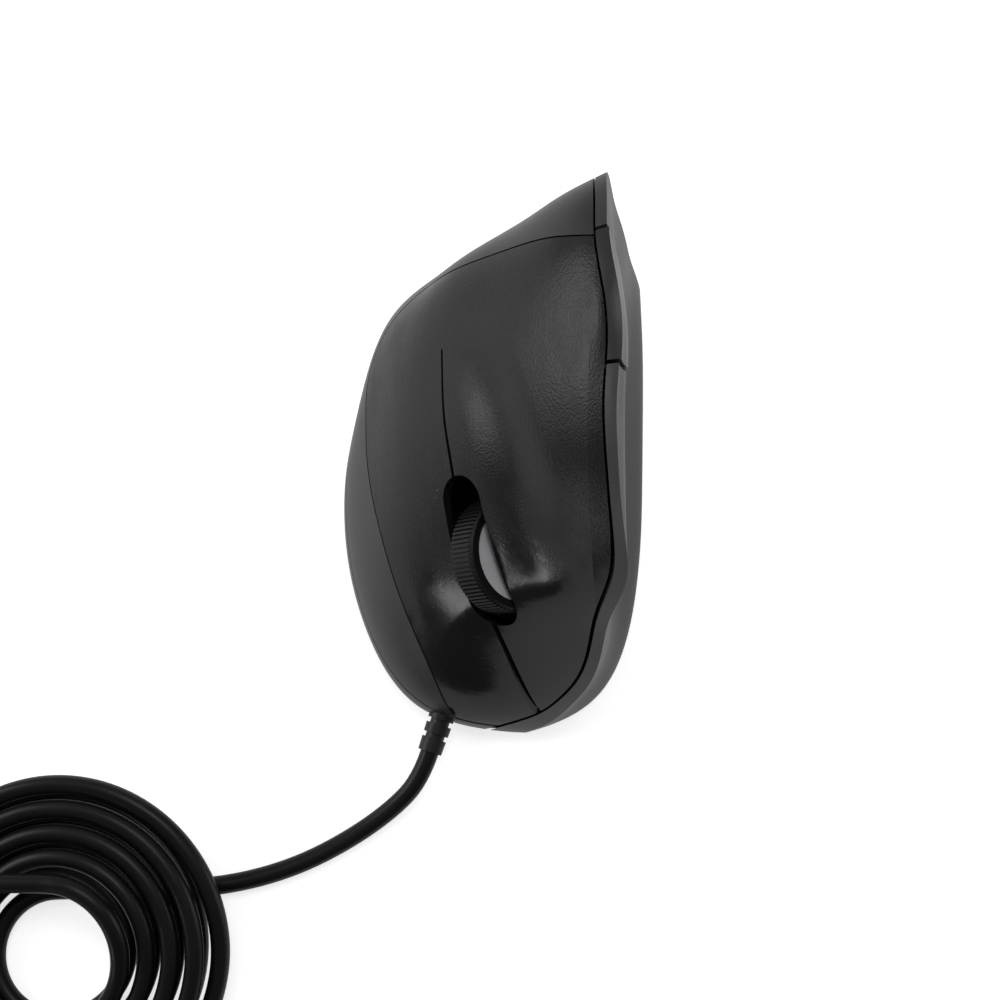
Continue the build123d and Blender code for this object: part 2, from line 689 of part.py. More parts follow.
with BuildPart() as sensor_lens:
    add(block((sensor_x - lens_length / 2, sensor_y - lens_width / 2, cavity_floor),
              (sensor_x + lens_length / 2, sensor_y + lens_width / 2, cavity_floor + lens_thickness)))
    add(rod(Plane((sensor_x, sensor_y, cavity_floor - lens_sink)), lens_radius,
            main_board_z - cavity_floor + lens_sink))
save(sensor_lens.part, "sensor_lens")

with BuildPart() as optical_sensor:
    add(block((sensor_x - sensor_size / 2, sensor_y - sensor_size / 2, main_board_top),
              (sensor_x + sensor_size / 2, sensor_y + sensor_size / 2, main_board_top + sensor_height)))
    fillet(optical_sensor.edges().group_by(Axis.Z)[-1], sensor_edge)
save(optical_sensor.part, "optical_sensor")

with BuildPart() as lamp:
    lamp_plane = Plane((sensor_x, lamp_y, main_board_top + lamp_radius), z_dir=(0, 1, 0))
    with BuildSketch(lamp_plane):
        Circle(lamp_radius)
    extrude(amount=lamp_length)
    fillet(lamp.edges().sort_by(Axis.Y)[0], lamp_tip)
save(lamp.part, "sensor_lamp")

header_low = (header_x - header_length / 2, header_y - header_width / 2, main_board_top)
header_high = (header_x + header_length / 2, header_y + header_width / 2, main_board_top + header_height)
with BuildPart() as cable_header:
    add(block(header_low, header_high))
    add(block((header_low[0] + header_wall, header_low[1] - header_wall, header_low[2] + header_wall),
              (header_high[0] - header_wall, header_high[1] - header_wall, header_high[2] - header_wall)),
        mode=Mode.SUBTRACT)
save(cable_header.part, "cable_header")

socket_wall = header_wall + seat_gap
with BuildPart() as cable_socket:
    add(block((header_low[0] + socket_wall, header_low[1] - header_wall, header_low[2] + socket_wall),
              (header_high[0] - socket_wall, header_high[1] - socket_wall, header_high[2] - socket_wall)))
save(cable_socket.part, "cable_socket")

# Frame and sloping board behind the keys
with BuildPart() as key_frame:
    for y in (frame_rib_front, frame_rib_rear):
        with BuildSketch(Plane((0, y, 0), x_dir=(1, 0, 0), z_dir=(0, -1, 0))):
            with BuildLine():
                low_z = key_board_height / cos(radians(panel_slope)) + frame_x_low * tan(radians(panel_slope))
                high_z = key_board_height / cos(radians(panel_slope)) + frame_x_high * tan(radians(panel_slope))
                Polyline((frame_x_low, cavity_floor), (frame_x_high, cavity_floor), (frame_x_high, high_z),
                         (frame_x_low, low_z), close=True)
            make_face()
        extrude(amount=frame_rib)
    add(block((frame_x_low, frame_rib_front - frame_rib, cavity_floor),
              (frame_x_high, frame_rib_rear, cavity_floor + frame_rib)))
save(key_frame.part, "key_frame")

notch_low = wheel_along - board_notch_margin
notch_high = wheel_along + board_notch_margin
with BuildPart() as key_board:
    add(block((key_board_low, key_board_front, key_board_height), (key_board_high, key_board_rear, key_board_top),
              panel_plane()))
    add(block((notch_low, key_board_front - overrun, -overrun), (notch_high, board_notch_rear, overrun), panel_plane()),
        mode=Mode.SUBTRACT)
save(key_board.part, "key_board")

# Microswitches under the keys
for name, along in zip(["right_switch", "left_switch"], switch_alongs):
    with BuildPart() as switch:
        add(block((along - switch_width / 2, switch_y - switch_length / 2, key_board_top),
                  (along + switch_width / 2, switch_y + switch_length / 2, key_board_top + switch_height),
                  panel_plane()))
        add(rod(panel_plane(along, switch_y, plunger_top - switch_plunger_height * 3),
                switch_plunger_radius + shaft_gap, overrun), mode=Mode.SUBTRACT)
    save(switch.part, name)
    with BuildPart() as plunger:
        add(rod(panel_plane(along, switch_y, plunger_top - switch_plunger_height * 2), switch_plunger_radius,
                switch_plunger_height * 2))
    save(plunger.part, name.replace("switch", "plunger"))

# Wheel: tyre, hub with its axle, and the slotted encoder disc
wheel_plane = panel_plane(wheel_along - tyre_width / 2, wheel_y, wheel_height)
axle_plane = Plane(wheel_plane.origin, x_dir=(0, 1, 0), z_dir=wheel_plane.x_dir)
hub_radius = wheel_radius - tyre_thickness
with BuildPart() as crown:
    with BuildSketch(axle_plane):
        Circle(wheel_radius)
    extrude(amount=tyre_width)
    chamfer(crown.edges().filter_by(GeomType.CIRCLE), tyre_crown)
with BuildPart() as wheel_tyre:
    with BuildSketch(axle_plane):
        Circle(wheel_radius)
        with PolarLocations(wheel_radius, rib_count):
            Rectangle(rib_depth * 2, 2 * pi * wheel_radius / rib_count * (1 - rib_share), mode=Mode.SUBTRACT)
        Circle(hub_radius, mode=Mode.SUBTRACT)
    extrude(amount=tyre_width)
    add(crown.part, mode=Mode.INTERSECT)
save(wheel_tyre.part, "wheel_tyre")

arm_low = wheel_along - tyre_width / 2 - cradle_gap - cradle_wall
arm_high = wheel_along + tyre_width / 2 + cradle_gap + cradle_wall
axle_low = encoder_along - encoder_thickness
with BuildPart() as wheel_hub:
    add(rod(axle_plane.offset(hub_recess), hub_radius - shaft_gap, tyre_width - 2 * hub_recess))
    axle_start = axle_low - wheel_along + tyre_width / 2
    add(rod(axle_plane.offset(axle_start), axle_radius, arm_high + cradle_gap - axle_low))
save(wheel_hub.part, "wheel_hub")

with BuildPart() as encoder_disc:
    with BuildSketch(Plane(panel_plane(encoder_along - encoder_thickness / 2, wheel_y, wheel_height).origin,
                           x_dir=(0, 1, 0), z_dir=wheel_plane.x_dir)):
        Circle(encoder_radius)
        Circle(axle_radius + shaft_gap, mode=Mode.SUBTRACT)
        with PolarLocations(encoder_slot_place, encoder_slots):
            Rectangle(encoder_slot_length, encoder_slot_width, mode=Mode.SUBTRACT)
    extrude(amount=encoder_thickness)
save(encoder_disc.part, "encoder_disc")

eye_low = {"encoder_emitter": encoder_along - encoder_thickness / 2 - encoder_gap - eye_thickness,
           "encoder_detector": encoder_along + encoder_thickness / 2 + encoder_gap}
for name, low in eye_low.items():
    with BuildPart() as eye:
        add(block((low, eye_y - eye_width / 2, key_board_top), (low + eye_thickness, eye_y + eye_width / 2,
                                                               key_board_top + eye_height), panel_plane()))
    save(eye.part, name)

# Cradle that carries the wheel, its pin and the bracket: only one arm reaches on to the switch
cradle_bosses = [(cradle_pivot_y, cradle_pivot_height), (wheel_y, wheel_height), (toe_y, toe_arm_height)]
with BuildPart() as wheel_cradle:
    for low, bosses in ((arm_low, cradle_bosses), (arm_high - cradle_wall, cradle_bosses[:2])):
        with BuildSketch(Plane(panel_plane(low, 0, 0).origin, x_dir=(0, 1, 0), z_dir=wheel_plane.x_dir)):
            with Locations(*bosses):
                Circle(cradle_boss_radius)
            with BuildLine():
                under = [(y, height - cradle_boss_radius) for y, height in bosses]
                over = [(y, height + cradle_boss_radius) for y, height in reversed(bosses)]
                Polyline(*under, *over, close=True)
            make_face()
        extrude(amount=cradle_wall)
    add(block((arm_low, cradle_bar_front, cradle_pivot_height),
              (arm_high, cradle_bar_front + cradle_bar_width, cradle_pivot_height + cradle_boss_radius),
              panel_plane()))
    add(block((toe_along - toe_length / 2, toe_y - toe_length / 2, tact_top + press_gap),
              (arm_low + cradle_wall, toe_y + toe_length / 2, toe_arm_height), panel_plane()))
    for y, height, radius in ((cradle_pivot_y, cradle_pivot_height, cradle_pin_radius),
                              (wheel_y, wheel_height, axle_radius)):
        hole_plane = Plane(panel_plane(0, y, height).origin, x_dir=(0, 1, 0), z_dir=wheel_plane.x_dir)
        add(rod(hole_plane, radius + shaft_gap, span_high), mode=Mode.SUBTRACT)
save(wheel_cradle.part, "wheel_cradle")

bracket_lows = (arm_low - seat_gap * 2 - bracket_wall, arm_high + seat_gap * 2)
pin_plane = Plane(panel_plane(bracket_lows[0], cradle_pivot_y, cradle_pivot_height).origin, x_dir=(0, 1, 0),
                  z_dir=wheel_plane.x_dir)
with BuildPart() as wheel_bracket:
    for low in bracket_lows:
        add(block((low, cradle_pivot_y - cradle_boss_radius, key_board_top),
                  (low + bracket_wall, cradle_pivot_y + cradle_boss_radius, cradle_pivot_height + cradle_boss_radius),
                  panel_plane()))
    add(block((bracket_lows[0], cradle_pivot_y + cradle_boss_radius, key_board_top),
              (bracket_lows[1] + bracket_wall, cradle_pivot_y + cradle_boss_radius + bracket_wall,
               cradle_pivot_height + cradle_boss_radius), panel_plane()))
    add(rod(pin_plane, cradle_pin_radius + shaft_gap, span_high), mode=Mode.SUBTRACT)
save(wheel_bracket.part, "wheel_bracket")

with BuildPart() as cradle_pin:
    add(rod(pin_plane, cradle_pin_radius, bracket_lows[1] + bracket_wall - bracket_lows[0]))
save(cradle_pin.part, "cradle_pin")


def tact_pair(plane, size, name):
    """A small square switch that stands on a plane, and its round plunger."""
    stem_hole = rod(plane.offset(tact_height / 2), tact_plunger_radius + shaft_gap, overrun)
    with BuildPart() as body:
        with BuildSketch(plane):
            Rectangle(size, size)
        extrude(amount=tact_height)
        add(stem_hole, mode=Mode.SUBTRACT)
    save(body.part, name + "_switch")
    depth = tact_height / 2 - tact_travel
    with BuildPart() as stem_part:
        add(rod(plane.offset(tact_height - depth), tact_plunger_radius, depth + tact_plunger_height))
    save(stem_part.part, name + "_plunger")


tact_pair(panel_plane(toe_along, toe_y, key_board_top), tact_size, "wheel")
for name, y in zip(("forward", "back"), side_button_ys):
    side_place = (side_board_x + board_thickness, y, side_button_z)
    tact_pair(Plane(side_place, x_dir=(0, 1, 0), z_dir=(1, 0, 0)), tact_size, name)
tact_pair(resolution_plane, resolution_switch_size, "resolution")

with BuildPart() as side_board:
    add(block((side_board_x, side_board_front, side_board_low), (side_board_x + board_thickness, side_board_rear,
                                                                side_board_high)))
save(side_board.part, "side_board")

bracket_x = side_board_x - frame_rib
side_board_top = side_board_x + board_thickness
with BuildPart() as side_bracket:
    add(block((bracket_x, side_board_front, side_board_low - frame_rib),
              (side_board_x, side_board_front + frame_rib * 3, side_board_high)))
    add(block((bracket_x, side_board_rear - frame_rib * 3, cavity_floor),
              (side_board_x, side_board_rear, side_board_high)))
    for z in (side_board_low - frame_rib, side_board_high):
        add(block((bracket_x, side_board_front, z), (side_board_top, side_board_rear, z + frame_rib)))
    add(block((-shelf_half, -shelf_half, -shelf_thickness), (shelf_half, shelf_reach, 0), resolution_plane))
save(side_bracket.part, "side_bracket")

# Board screws
with BuildPart() as board_screws:
    for x, y in main_post_places:
        add(rod(Plane((x, y, main_board_top)), screw_head_radius, screw_head_height))
        add(rod(Plane((x, y, cavity_floor + seat_gap)), screw_radius - shaft_gap, main_board_top - cavity_floor))
save(board_screws.part, "board_screws")

# Sleeve that guards the cable where it leaves the casing, with a collar behind the tray's wall
with BuildPart() as strain_relief:
    with BuildSketch(relief_plane):
        Circle(relief_radius)
    with BuildSketch(relief_plane.offset(relief_length)):
        Circle(relief_tip_radius)
    loft()
    for share in relief_groove_shares:
        groove_plane = relief_plane.offset(relief_length * share)
        with BuildSketch(groove_plane):
            Circle(relief_radius + relief_groove)
            Circle(relief_tip_radius - relief_groove_depth + seat_gap, mode=Mode.SUBTRACT)
        extrude(amount=relief_groove, mode=Mode.SUBTRACT)
    add(block((cavity_floor - relief_height, -collar_width / 2, 0), (relief_radius, collar_width / 2, collar_length),
              relief_plane))
save(strain_relief.part, "strain_relief")

cord(inner_cable_points, inner_cable_radius, "inner_cable")
cord(lead_points, cable_radius, "cable_lead")

# Coil: eighths of a turn as pairs of tangent arcs, with a short straight run at each end
coil_stations = [i * coil_step for i in range(int(coil_last / coil_step) + 1)]
coil_nodes = [(coil_place(station), coil_heading(station)) for station in coil_stations]
coil_first = coil_nodes[0][0] - coil_nodes[0][1] * cable_diameter
coil_end = coil_nodes[-1][0] + coil_nodes[-1][1] * cable_diameter
with BuildLine() as coil_route:
    Line(coil_first, coil_nodes[0][0])
    for (here, heading), (there, arrival) in zip(coil_nodes, coil_nodes[1:]):
        chord = there - here
        both = heading + arrival
        spare = 4 - both.dot(both)
        reach = (sqrt(chord.dot(both) ** 2 + spare * chord.dot(chord)) - chord.dot(both)) / spare
        low_corner = here + heading * reach
        high_corner = there - arrival * reach
        middle = (low_corner + high_corner) / 2
        TangentArc(here, middle, tangent=heading)
        TangentArc(middle, there, tangent=high_corner - low_corner)
    Line(coil_nodes[-1][0], coil_end)
coil_path = coil_route.wires()[0]
samples = [edge @ (i / body_gap_samples) for edge in coil_path.edges() for i in range(body_gap_samples)]
skipped = body_gap_samples * 8
least = min((samples[i] - samples[j]).length
            for i in range(len(samples)) for j in range(i + skipped, len(samples)))
print("coil length", round(coil_path.length, 1), "least gap to itself", round(least - cable_diameter, 2))
with BuildPart() as cable_coil:
    with BuildSketch(Plane(origin=coil_first, z_dir=coil_nodes[0][1])):
        Circle(cable_radius)
    sweep(path=coil_path)
print("coil volume share", round(cable_coil.part.volume / (pi * cable_radius ** 2 * coil_path.length), 4))
save(cable_coil.part, "cable_coil")

cord([coil_end] + tail_points, cable_radius, "cable_tail")

# Plug, lying on the same floor as the cable
plug_plane = Plane(tail_points[-1], x_dir=(1, 0, 0), z_dir=(0, -1, 0))
body_plane = plug_plane.offset(plug_sleeve_length)
nose_plane = body_plane.offset(plug_length)
with BuildPart() as plug_overmould:
    with BuildSketch(plug_plane):
        Circle(relief_tip_radius)
    with BuildSketch(body_plane):
        Circle(plug_sleeve_radius)
    loft()
    with BuildSketch(body_plane):
        RectangleRounded(plug_width, plug_height, plug_corner)
    extrude(amount=plug_length)
    for share in relief_groove_shares:
        with BuildSketch(plug_plane.offset(plug_sleeve_length * (1 - share))):
            Circle(plug_sleeve_radius + relief_groove)
            Circle(relief_tip_radius - relief_groove_depth + seat_gap, mode=Mode.SUBTRACT)
        extrude(amount=-relief_groove, mode=Mode.SUBTRACT)
save(plug_overmould.part, "plug_overmould")

with BuildPart() as plug_shell:
    with BuildSketch(nose_plane):
        RectangleRounded(plug_shell_width, plug_shell_height, plug_shell_wall * 2)
        Rectangle(plug_shell_width - plug_shell_wall * 2, plug_shell_height - plug_shell_wall * 2,
                  mode=Mode.SUBTRACT)
    extrude(amount=plug_shell_length)
    for side in (-1, 1):
        add(block((side * plug_shell_width / 4 - plug_window / 2, -plug_shell_height, plug_shell_length / 2),
                  (side * plug_shell_width / 4 + plug_window / 2, plug_shell_height,
                   plug_shell_length / 2 + plug_window), nose_plane), mode=Mode.SUBTRACT)
save(plug_shell.part, "plug_shell")

block_half = plug_shell_width / 2 - plug_shell_wall - seat_gap
block_top = plug_shell_height / 2 - plug_shell_wall - seat_gap
block_bottom = block_top - plug_block_height
with BuildPart() as plug_block:
    add(block((-block_half, block_bottom, 0), (block_half, block_top, plug_shell_length - plug_shell_wall),
              nose_plane))
save(plug_block.part, "plug_block")

contact_step = block_half * 2 / (plug_contact_count + 1)
with BuildPart() as plug_contacts:
    for i in range(plug_contact_count):
        x = -block_half + contact_step * (i + 1)
        add(block((x - plug_contact_width / 2, block_bottom - plug_contact_height, plug_shell_wall),
                  (x + plug_contact_width / 2, block_bottom, plug_shell_length * bend_share * 2), nose_plane))
save(plug_contacts.part, "plug_contacts")
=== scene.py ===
"""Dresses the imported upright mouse: finishes, the cable, the boards' small parts, lights and camera."""
import logging
import math
import random
from dataclasses import dataclass, field
from enum import Enum

import bmesh
import bpy
from mathutils import Matrix, Vector
from mathutils.bvhtree import BVHTree
from mathutils.interpolate import poly_3d_calc


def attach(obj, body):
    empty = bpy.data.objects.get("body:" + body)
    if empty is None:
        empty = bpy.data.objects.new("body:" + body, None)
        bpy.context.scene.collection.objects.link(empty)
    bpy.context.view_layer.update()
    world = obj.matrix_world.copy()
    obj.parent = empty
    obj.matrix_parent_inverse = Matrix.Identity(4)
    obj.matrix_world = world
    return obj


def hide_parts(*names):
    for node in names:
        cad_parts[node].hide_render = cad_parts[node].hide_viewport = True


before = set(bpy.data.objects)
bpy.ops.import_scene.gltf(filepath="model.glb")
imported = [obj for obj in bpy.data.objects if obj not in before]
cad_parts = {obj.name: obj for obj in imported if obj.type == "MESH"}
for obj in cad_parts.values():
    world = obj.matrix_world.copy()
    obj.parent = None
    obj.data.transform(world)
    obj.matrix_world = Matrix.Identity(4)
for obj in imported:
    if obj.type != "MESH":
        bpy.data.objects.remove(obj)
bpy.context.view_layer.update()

LOG = logging.getLogger("upright_mouse")
MM = 0.001
Point = tuple[float, float, float]
Colour = tuple[float, float, float]

# The cable's route, in metres, as in the part's source
LEAD_POINTS: list[Point] = [
    (-0.0152, -0.0600, 0.0046), (-0.0173, -0.0662, 0.0042), (-0.0236, -0.0728, 0.0030),
    (-0.0334, -0.0796, 0.0021), (-0.0450, -0.0854, 0.0021), (-0.0575, -0.0890, 0.0021),
    (-0.0700, -0.0904, 0.0021), (-0.0820, -0.0906, 0.0021), (-0.0938, -0.0906, 0.0021)]
TAIL_POINTS: list[Point] = [
    (-0.1120, -0.08795, 0.014775), (-0.1235, -0.0892, 0.0136), (-0.1350, -0.0924, 0.0116),
    (-0.1455, -0.0986, 0.0054), (-0.1518, -0.1080, 0.0021), (-0.1546, -0.1190, 0.0021),
    (-0.1550, -0.1295, 0.0042), (-0.1550, -0.1385, 0.0042)]


def smooth_step(share: float) -> float:
    """From 0 to 1, level at both ends."""
    share = min(max(share, 0.0), 1.0)
    return share * share * (3 - 2 * share)


@dataclass(frozen=True)
class View:
    """The camera's place, worked out from the photograph."""

    target: Point = (0.0008, -0.0010, 0.0)
    distance: float = 0.330
    elevation: float = 80.0
    lens: float = 49.9
    sensor: float = 36.0
    nearest: float = 0.01

    def build(self) -> bpy.types.Object:
        """Makes the camera and gives it to the scene.

        Returns:
            The camera object.
        """
        data = bpy.data.cameras.new("camera")
        data.lens = self.lens
        data.sensor_width = self.sensor
        data.clip_start = self.nearest
        camera = bpy.data.objects.new("camera", data)
        bpy.context.scene.collection.objects.link(camera)
        rise = math.radians(self.elevation)
        away = Vector((0.0, -math.cos(rise), math.sin(rise))) * self.distance
        camera.location = Vector(self.target) + away
        camera.rotation_euler = (math.radians(90 - self.elevation), 0.0, 0.0)
        bpy.context.scene.camera = camera
        return camera


class SocketExpression:
    """A value in a material's node tree, on which sums are written as Python expressions."""

    def __init__(self, tree: "MaterialTree", socket: bpy.types.NodeSocket) -> None:
        """Wraps an output socket.

        Args:
            tree: The tree that the socket belongs to.
            socket: The output socket.
        """
        self.tree = tree
        self.socket = socket

    def _math(self, operation: str, first: object, second: object = 0.0) -> "SocketExpression":
        """Adds one Math node.

        Args:
            operation: The node's operation.
            first: The first value or expression.
            second: The second value or expression.

        Returns:
            The node's result.
        """
        made = self.tree.node("ShaderNodeMath", {"operation": operation}, {0: first, 1: second})
        return SocketExpression(self.tree, made.outputs[0])

    def __add__(self, other: object) -> "SocketExpression":
        """The sum."""
        return self._math("ADD", self, other)

    def __radd__(self, other: object) -> "SocketExpression":
        """The sum, the other way round."""
        return self._math("ADD", other, self)

    def __sub__(self, other: object) -> "SocketExpression":
        """The difference."""
        return self._math("SUBTRACT", self, other)

    def __rsub__(self, other: object) -> "SocketExpression":
        """The difference, the other way round."""
        return self._math("SUBTRACT", other, self)

    def __mul__(self, other: object) -> "SocketExpression":
        """The product."""
        return self._math("MULTIPLY", self, other)

    def __rmul__(self, other: object) -> "SocketExpression":
        """The product, the other way round."""
        return self._math("MULTIPLY", other, self)

    def __truediv__(self, other: object) -> "SocketExpression":
        """The quotient."""
        return self._math("DIVIDE", self, other)

    def size(self) -> "SocketExpression":
        """The value without its sign."""
        return self._math("ABSOLUTE", self)

    def at_least(self, other: object) -> "SocketExpression":
        """The larger of the two."""
        return self._math("MAXIMUM", self, other)

    def fade(self, low: float, high: float) -> "SocketExpression":
        """From 0 at one value to 1 at another, smoothly.

        Args:
            low: The value that gives 0.
            high: The value that gives 1.

        Returns:
            The faded value.
        """
        made = self.tree.node("ShaderNodeMapRange", {"interpolation_type": "SMOOTHSTEP"},
                              {"Value": self, "From Min": low, "From Max": high})
        return SocketExpression(self.tree, made.outputs["Result"])


class MaterialTree:
    """A material whose nodes are added by one method."""

    def __init__(self, name: str) -> None:
        """Starts a material with a Principled shader.

        Args:
            name: The material's name.
        """
        self.material = bpy.data.materials.new(name)
        self.material.use_nodes = True
        self.nodes = self.material.node_tree.nodes
        self.links = self.material.node_tree.links
        self.shader = self.nodes["Principled BSDF"]

    def node(self, kind: str, settings: dict[str, object] | None = None,
             values: dict[object, object] | None = None) -> bpy.types.Node:
        """Adds a node.

        Args:
            kind: The node's type.
            settings: Its settings, which are set first.
            values: Values or links of its input sockets.

        Returns:
            The new node.
        """
        made = self.nodes.new(kind)
        for key, value in (settings or {}).items():
            setattr(made, key, value)
        for key, value in (values or {}).items():
            self.feed(made.inputs[key], value)
        return made

    def feed(self, socket: bpy.types.NodeSocket, value: object) -> None:
        """Sets or links a socket.

        Args:
            socket: The input socket.
            value: A number, a colour, a socket or an expression.
        """
        if isinstance(value, SocketExpression):
            self.links.new(value.socket, socket)
        elif isinstance(value, bpy.types.NodeSocket):
            self.links.new(value, socket)
        elif isinstance(value, tuple) and len(value) == 3 and socket.type == "RGBA":
            socket.default_value = (*value, 1.0)
        else:
            socket.default_value = value

    def place(self) -> bpy.types.NodeSocket:
        """The point on the object, in metres in the part's frame."""
        return self.node("ShaderNodeTexCoord").outputs["Object"]

    def axes(self) -> tuple[SocketExpression, SocketExpression, SocketExpression]:
        """The three coordinates of the point on the object."""
        parts = self.node("ShaderNodeSeparateXYZ", None, {"Vector": self.place()})
        return tuple(SocketExpression(self, parts.outputs[i]) for i in range(3))

    def noise(self, scale: float, detail: float = 3.0, roughness: float = 0.5,
              stretch: Point = (1.0, 1.0, 1.0)) -> SocketExpression:
        """A noise from 0 to 1 over the object.

        Args:
            scale: How many waves go into a metre.
            detail: The number of finer layers.
            roughness: How strong the finer layers are.
            stretch: A factor for each direction.

        Returns:
            The noise's value.
        """
        spread = self.node("ShaderNodeMapping", None, {"Vector": self.place(), "Scale": stretch})
        made = self.node("ShaderNodeTexNoise", None, {"Vector": spread.outputs[0], "Scale": scale,
                                                      "Detail": detail, "Roughness": roughness})
        return SocketExpression(self, made.outputs["Fac"])

    def cells(self, scale: float) -> SocketExpression:
        """The distance to the nearest of scattered points."""
        made = self.node("ShaderNodeTexVoronoi", None, {"Vector": self.place(), "Scale": scale})
        return SocketExpression(self, made.outputs["Distance"])

    def mix(self, share: object, first: object, second: object) -> bpy.types.NodeSocket:
        """A colour between two others.

        Args:
            share: 0 gives the first, 1 the second.
            first: A colour or a socket.
            second: A colour or a socket.

        Returns:
            The mixed colour's socket.
        """
        made = self.node("ShaderNodeMix", {"data_type": "RGBA"}, {0: share, 6: first, 7: second})
        return made.outputs[2]

    def bump(self, height: object, distance: float, strength: float = 1.0,
             normal: object = None) -> bpy.types.NodeSocket:
        """Fine relief.

        Args:
            height: The height's expression.
            distance: The height in metres that 1 stands for.
            strength: How much of it is used.
            normal: Another bump's normal, or nothing.

        Returns:
            The normal's socket.
        """
        values: dict[object, object] = {"Height": height, "Distance": distance, "Strength": strength}
        if normal is not None:
            values["Normal"] = normal
        return self.node("ShaderNodeBump", None, values).outputs[0]

    def set(self, **values: object) -> None:
        """Sets or links the shader's sockets, named with underscores for spaces."""
        for key, value in values.items():
            self.feed(self.shader.inputs[key.replace("_", " ")], value)


@dataclass(frozen=True)
class GlossBlack:
    """The polished black plastic of the keys and their panel, worn dull where fingers lie."""

    base: Colour = (0.0075, 0.0075, 0.0085)
    dust: Colour = (0.17, 0.17, 0.18)
    polished: float = 0.10
    worn: float = 0.40
    worn_from: float = -0.030
    worn_to: float = 0.030
    channel_place: float = 0.0025
    channel_turn: float = 0.30
    channel_width: float = 0.0075
    channel_depth: float = 0.0011
    crease_x: float = 0.0174
    crease_y: float = 0.004
    crease_bend: float = 2.2
    crease_fall: float = 0.12
    blotch_scale: float = 55.0
    blotch_reach: float = 0.030
    patch_fade_low: float = 0.016
    patch_fade_high: float = 0.022
    smear_scale: float = 190.0
    grain_scale: float = 1900.0
    grain_depth: float = 0.00004
    scratch_scale: float = 420.0
    scratch_rough: float = 0.05
    speck_scale: float = 430.0
    speck_spread: float = 150.0
    dust_share: float = 0.75
    dust_rough: float = 0.4
    ripple_scale: float = 900.0
    ripple_depth: float = 0.000012
    specular: float = 0.32

    def build(self) -> bpy.types.Material:
        """Makes the material.

        Returns:
            The material.
        """
        tree = MaterialTree("gloss_black")
        x, y, _ = tree.axes()
        blotch = tree.noise(self.blotch_scale, 4.0, 0.6)
        along = y + (blotch - 0.5) * self.blotch_reach
        patch = along.fade(self.worn_from, self.worn_from + self.patch_fade_low)
        patch = patch * (1.0 - along.fade(self.worn_to, self.worn_to + self.patch_fade_high))
        smear = tree.noise(self.smear_scale, 5.0, 0.62, (1.0, 0.45, 1.0)).fade(0.35, 0.75)
        grain = tree.cells(self.grain_scale).fade(0.05, 0.75)
        scratch = tree.noise(self.scratch_scale, 2.0, 0.5, (1.0, 0.06, 1.0)).fade(0.66, 0.72)
        worn = patch * (self.worn - self.polished) * (0.72 + 0.28 * smear)
        rough = self.polished + worn + scratch * self.scratch_rough
        specks = 1.0 - tree.cells(self.speck_scale).fade(0.035, 0.075)
        sparse = tree.noise(self.speck_spread, 2.0).fade(0.60, 0.68)
        dust = specks * sparse
        offset = x - self.channel_place - (y * -self.channel_turn)
        valley = (1.0 - offset.size() / self.channel_width).fade(0.0, 1.0)
        length = y.fade(-0.030, -0.012) * (1.0 - y.fade(0.010, 0.026))
        relief = tree.bump(valley * length * -1.0, self.channel_depth)
        bow = y - self.crease_y
        past = (x - self.crease_x - bow * bow * self.crease_bend).at_least(0.0)
        relief = tree.bump(past * (-self.crease_fall / MM), MM, 1.0, relief)
        relief = tree.bump(grain * patch, self.grain_depth, 0.55, relief)
        relief = tree.bump(tree.noise(self.ripple_scale, 3.0), self.ripple_depth, 0.5, relief)
        tree.set(Base_Color=tree.mix(dust * self.dust_share, self.base, self.dust),
                 Roughness=rough + dust * self.dust_rough, Normal=relief, Specular_IOR_Level=self.specular)
        return tree.material


@dataclass(frozen=True)
class SatinBlack:
    """The duller black plastic of the shells."""

    name: str = "satin_black"
    base: Colour = (0.012, 0.012, 0.013)
    light: Colour = (0.020, 0.020, 0.022)
    rough: float = 0.34
    grain: float = 0.00003
    dust: Colour = (0.16, 0.16, 0.17)
    cloud_scale: float = 40.0
    fine_scale: float = 1500.0
    speck_scale: float = 380.0
    speck_spread: float = 120.0

    def build(self) -> bpy.types.Material:
        """Makes the material.

        Returns:
            The material.
        """
        tree = MaterialTree(self.name)
        cloud = tree.noise(self.cloud_scale, 4.0, 0.55)
        fine = tree.noise(self.fine_scale, 3.0, 0.6)
        sparse = tree.noise(self.speck_spread, 2.0).fade(0.62, 0.70)
        specks = (1.0 - tree.cells(self.speck_scale).fade(0.03, 0.07)) * sparse
        colour = tree.mix(cloud, self.base, self.light)
        tree.set(Base_Color=tree.mix(specks * 0.6, colour, self.dust),
                 Roughness=self.rough + (cloud - 0.5) * 0.12 + fine * 0.05 + specks * 0.3,
                 Normal=tree.bump(fine, self.grain, 0.6))
        return tree.material


@dataclass(frozen=True)
class Rubber:
    """Soft black rubber or cord sheath."""

    name: str
    base: Colour = (0.010, 0.010, 0.011)
    rough: float = 0.48
    grain: float = 0.00003
    scale: float = 1300.0
    shine: float = 0.5
    cloud_scale: float = 90.0
    lighter: float = 2.2

    def build(self) -> bpy.types.Material:
        """Makes the material.

        Returns:
            The material.
        """
        tree = MaterialTree(self.name)
        fine = tree.noise(self.scale, 4.0, 0.6)
        cloud = tree.noise(self.cloud_scale, 3.0, 0.5)
        lighter = tuple(value * self.lighter for value in self.base)
        tree.set(Base_Color=tree.mix(cloud, self.base, lighter), Roughness=self.rough + (cloud - 0.5) * 0.14,
                 Normal=tree.bump(fine, self.grain, 0.7), Specular_IOR_Level=self.shine)
        return tree.material


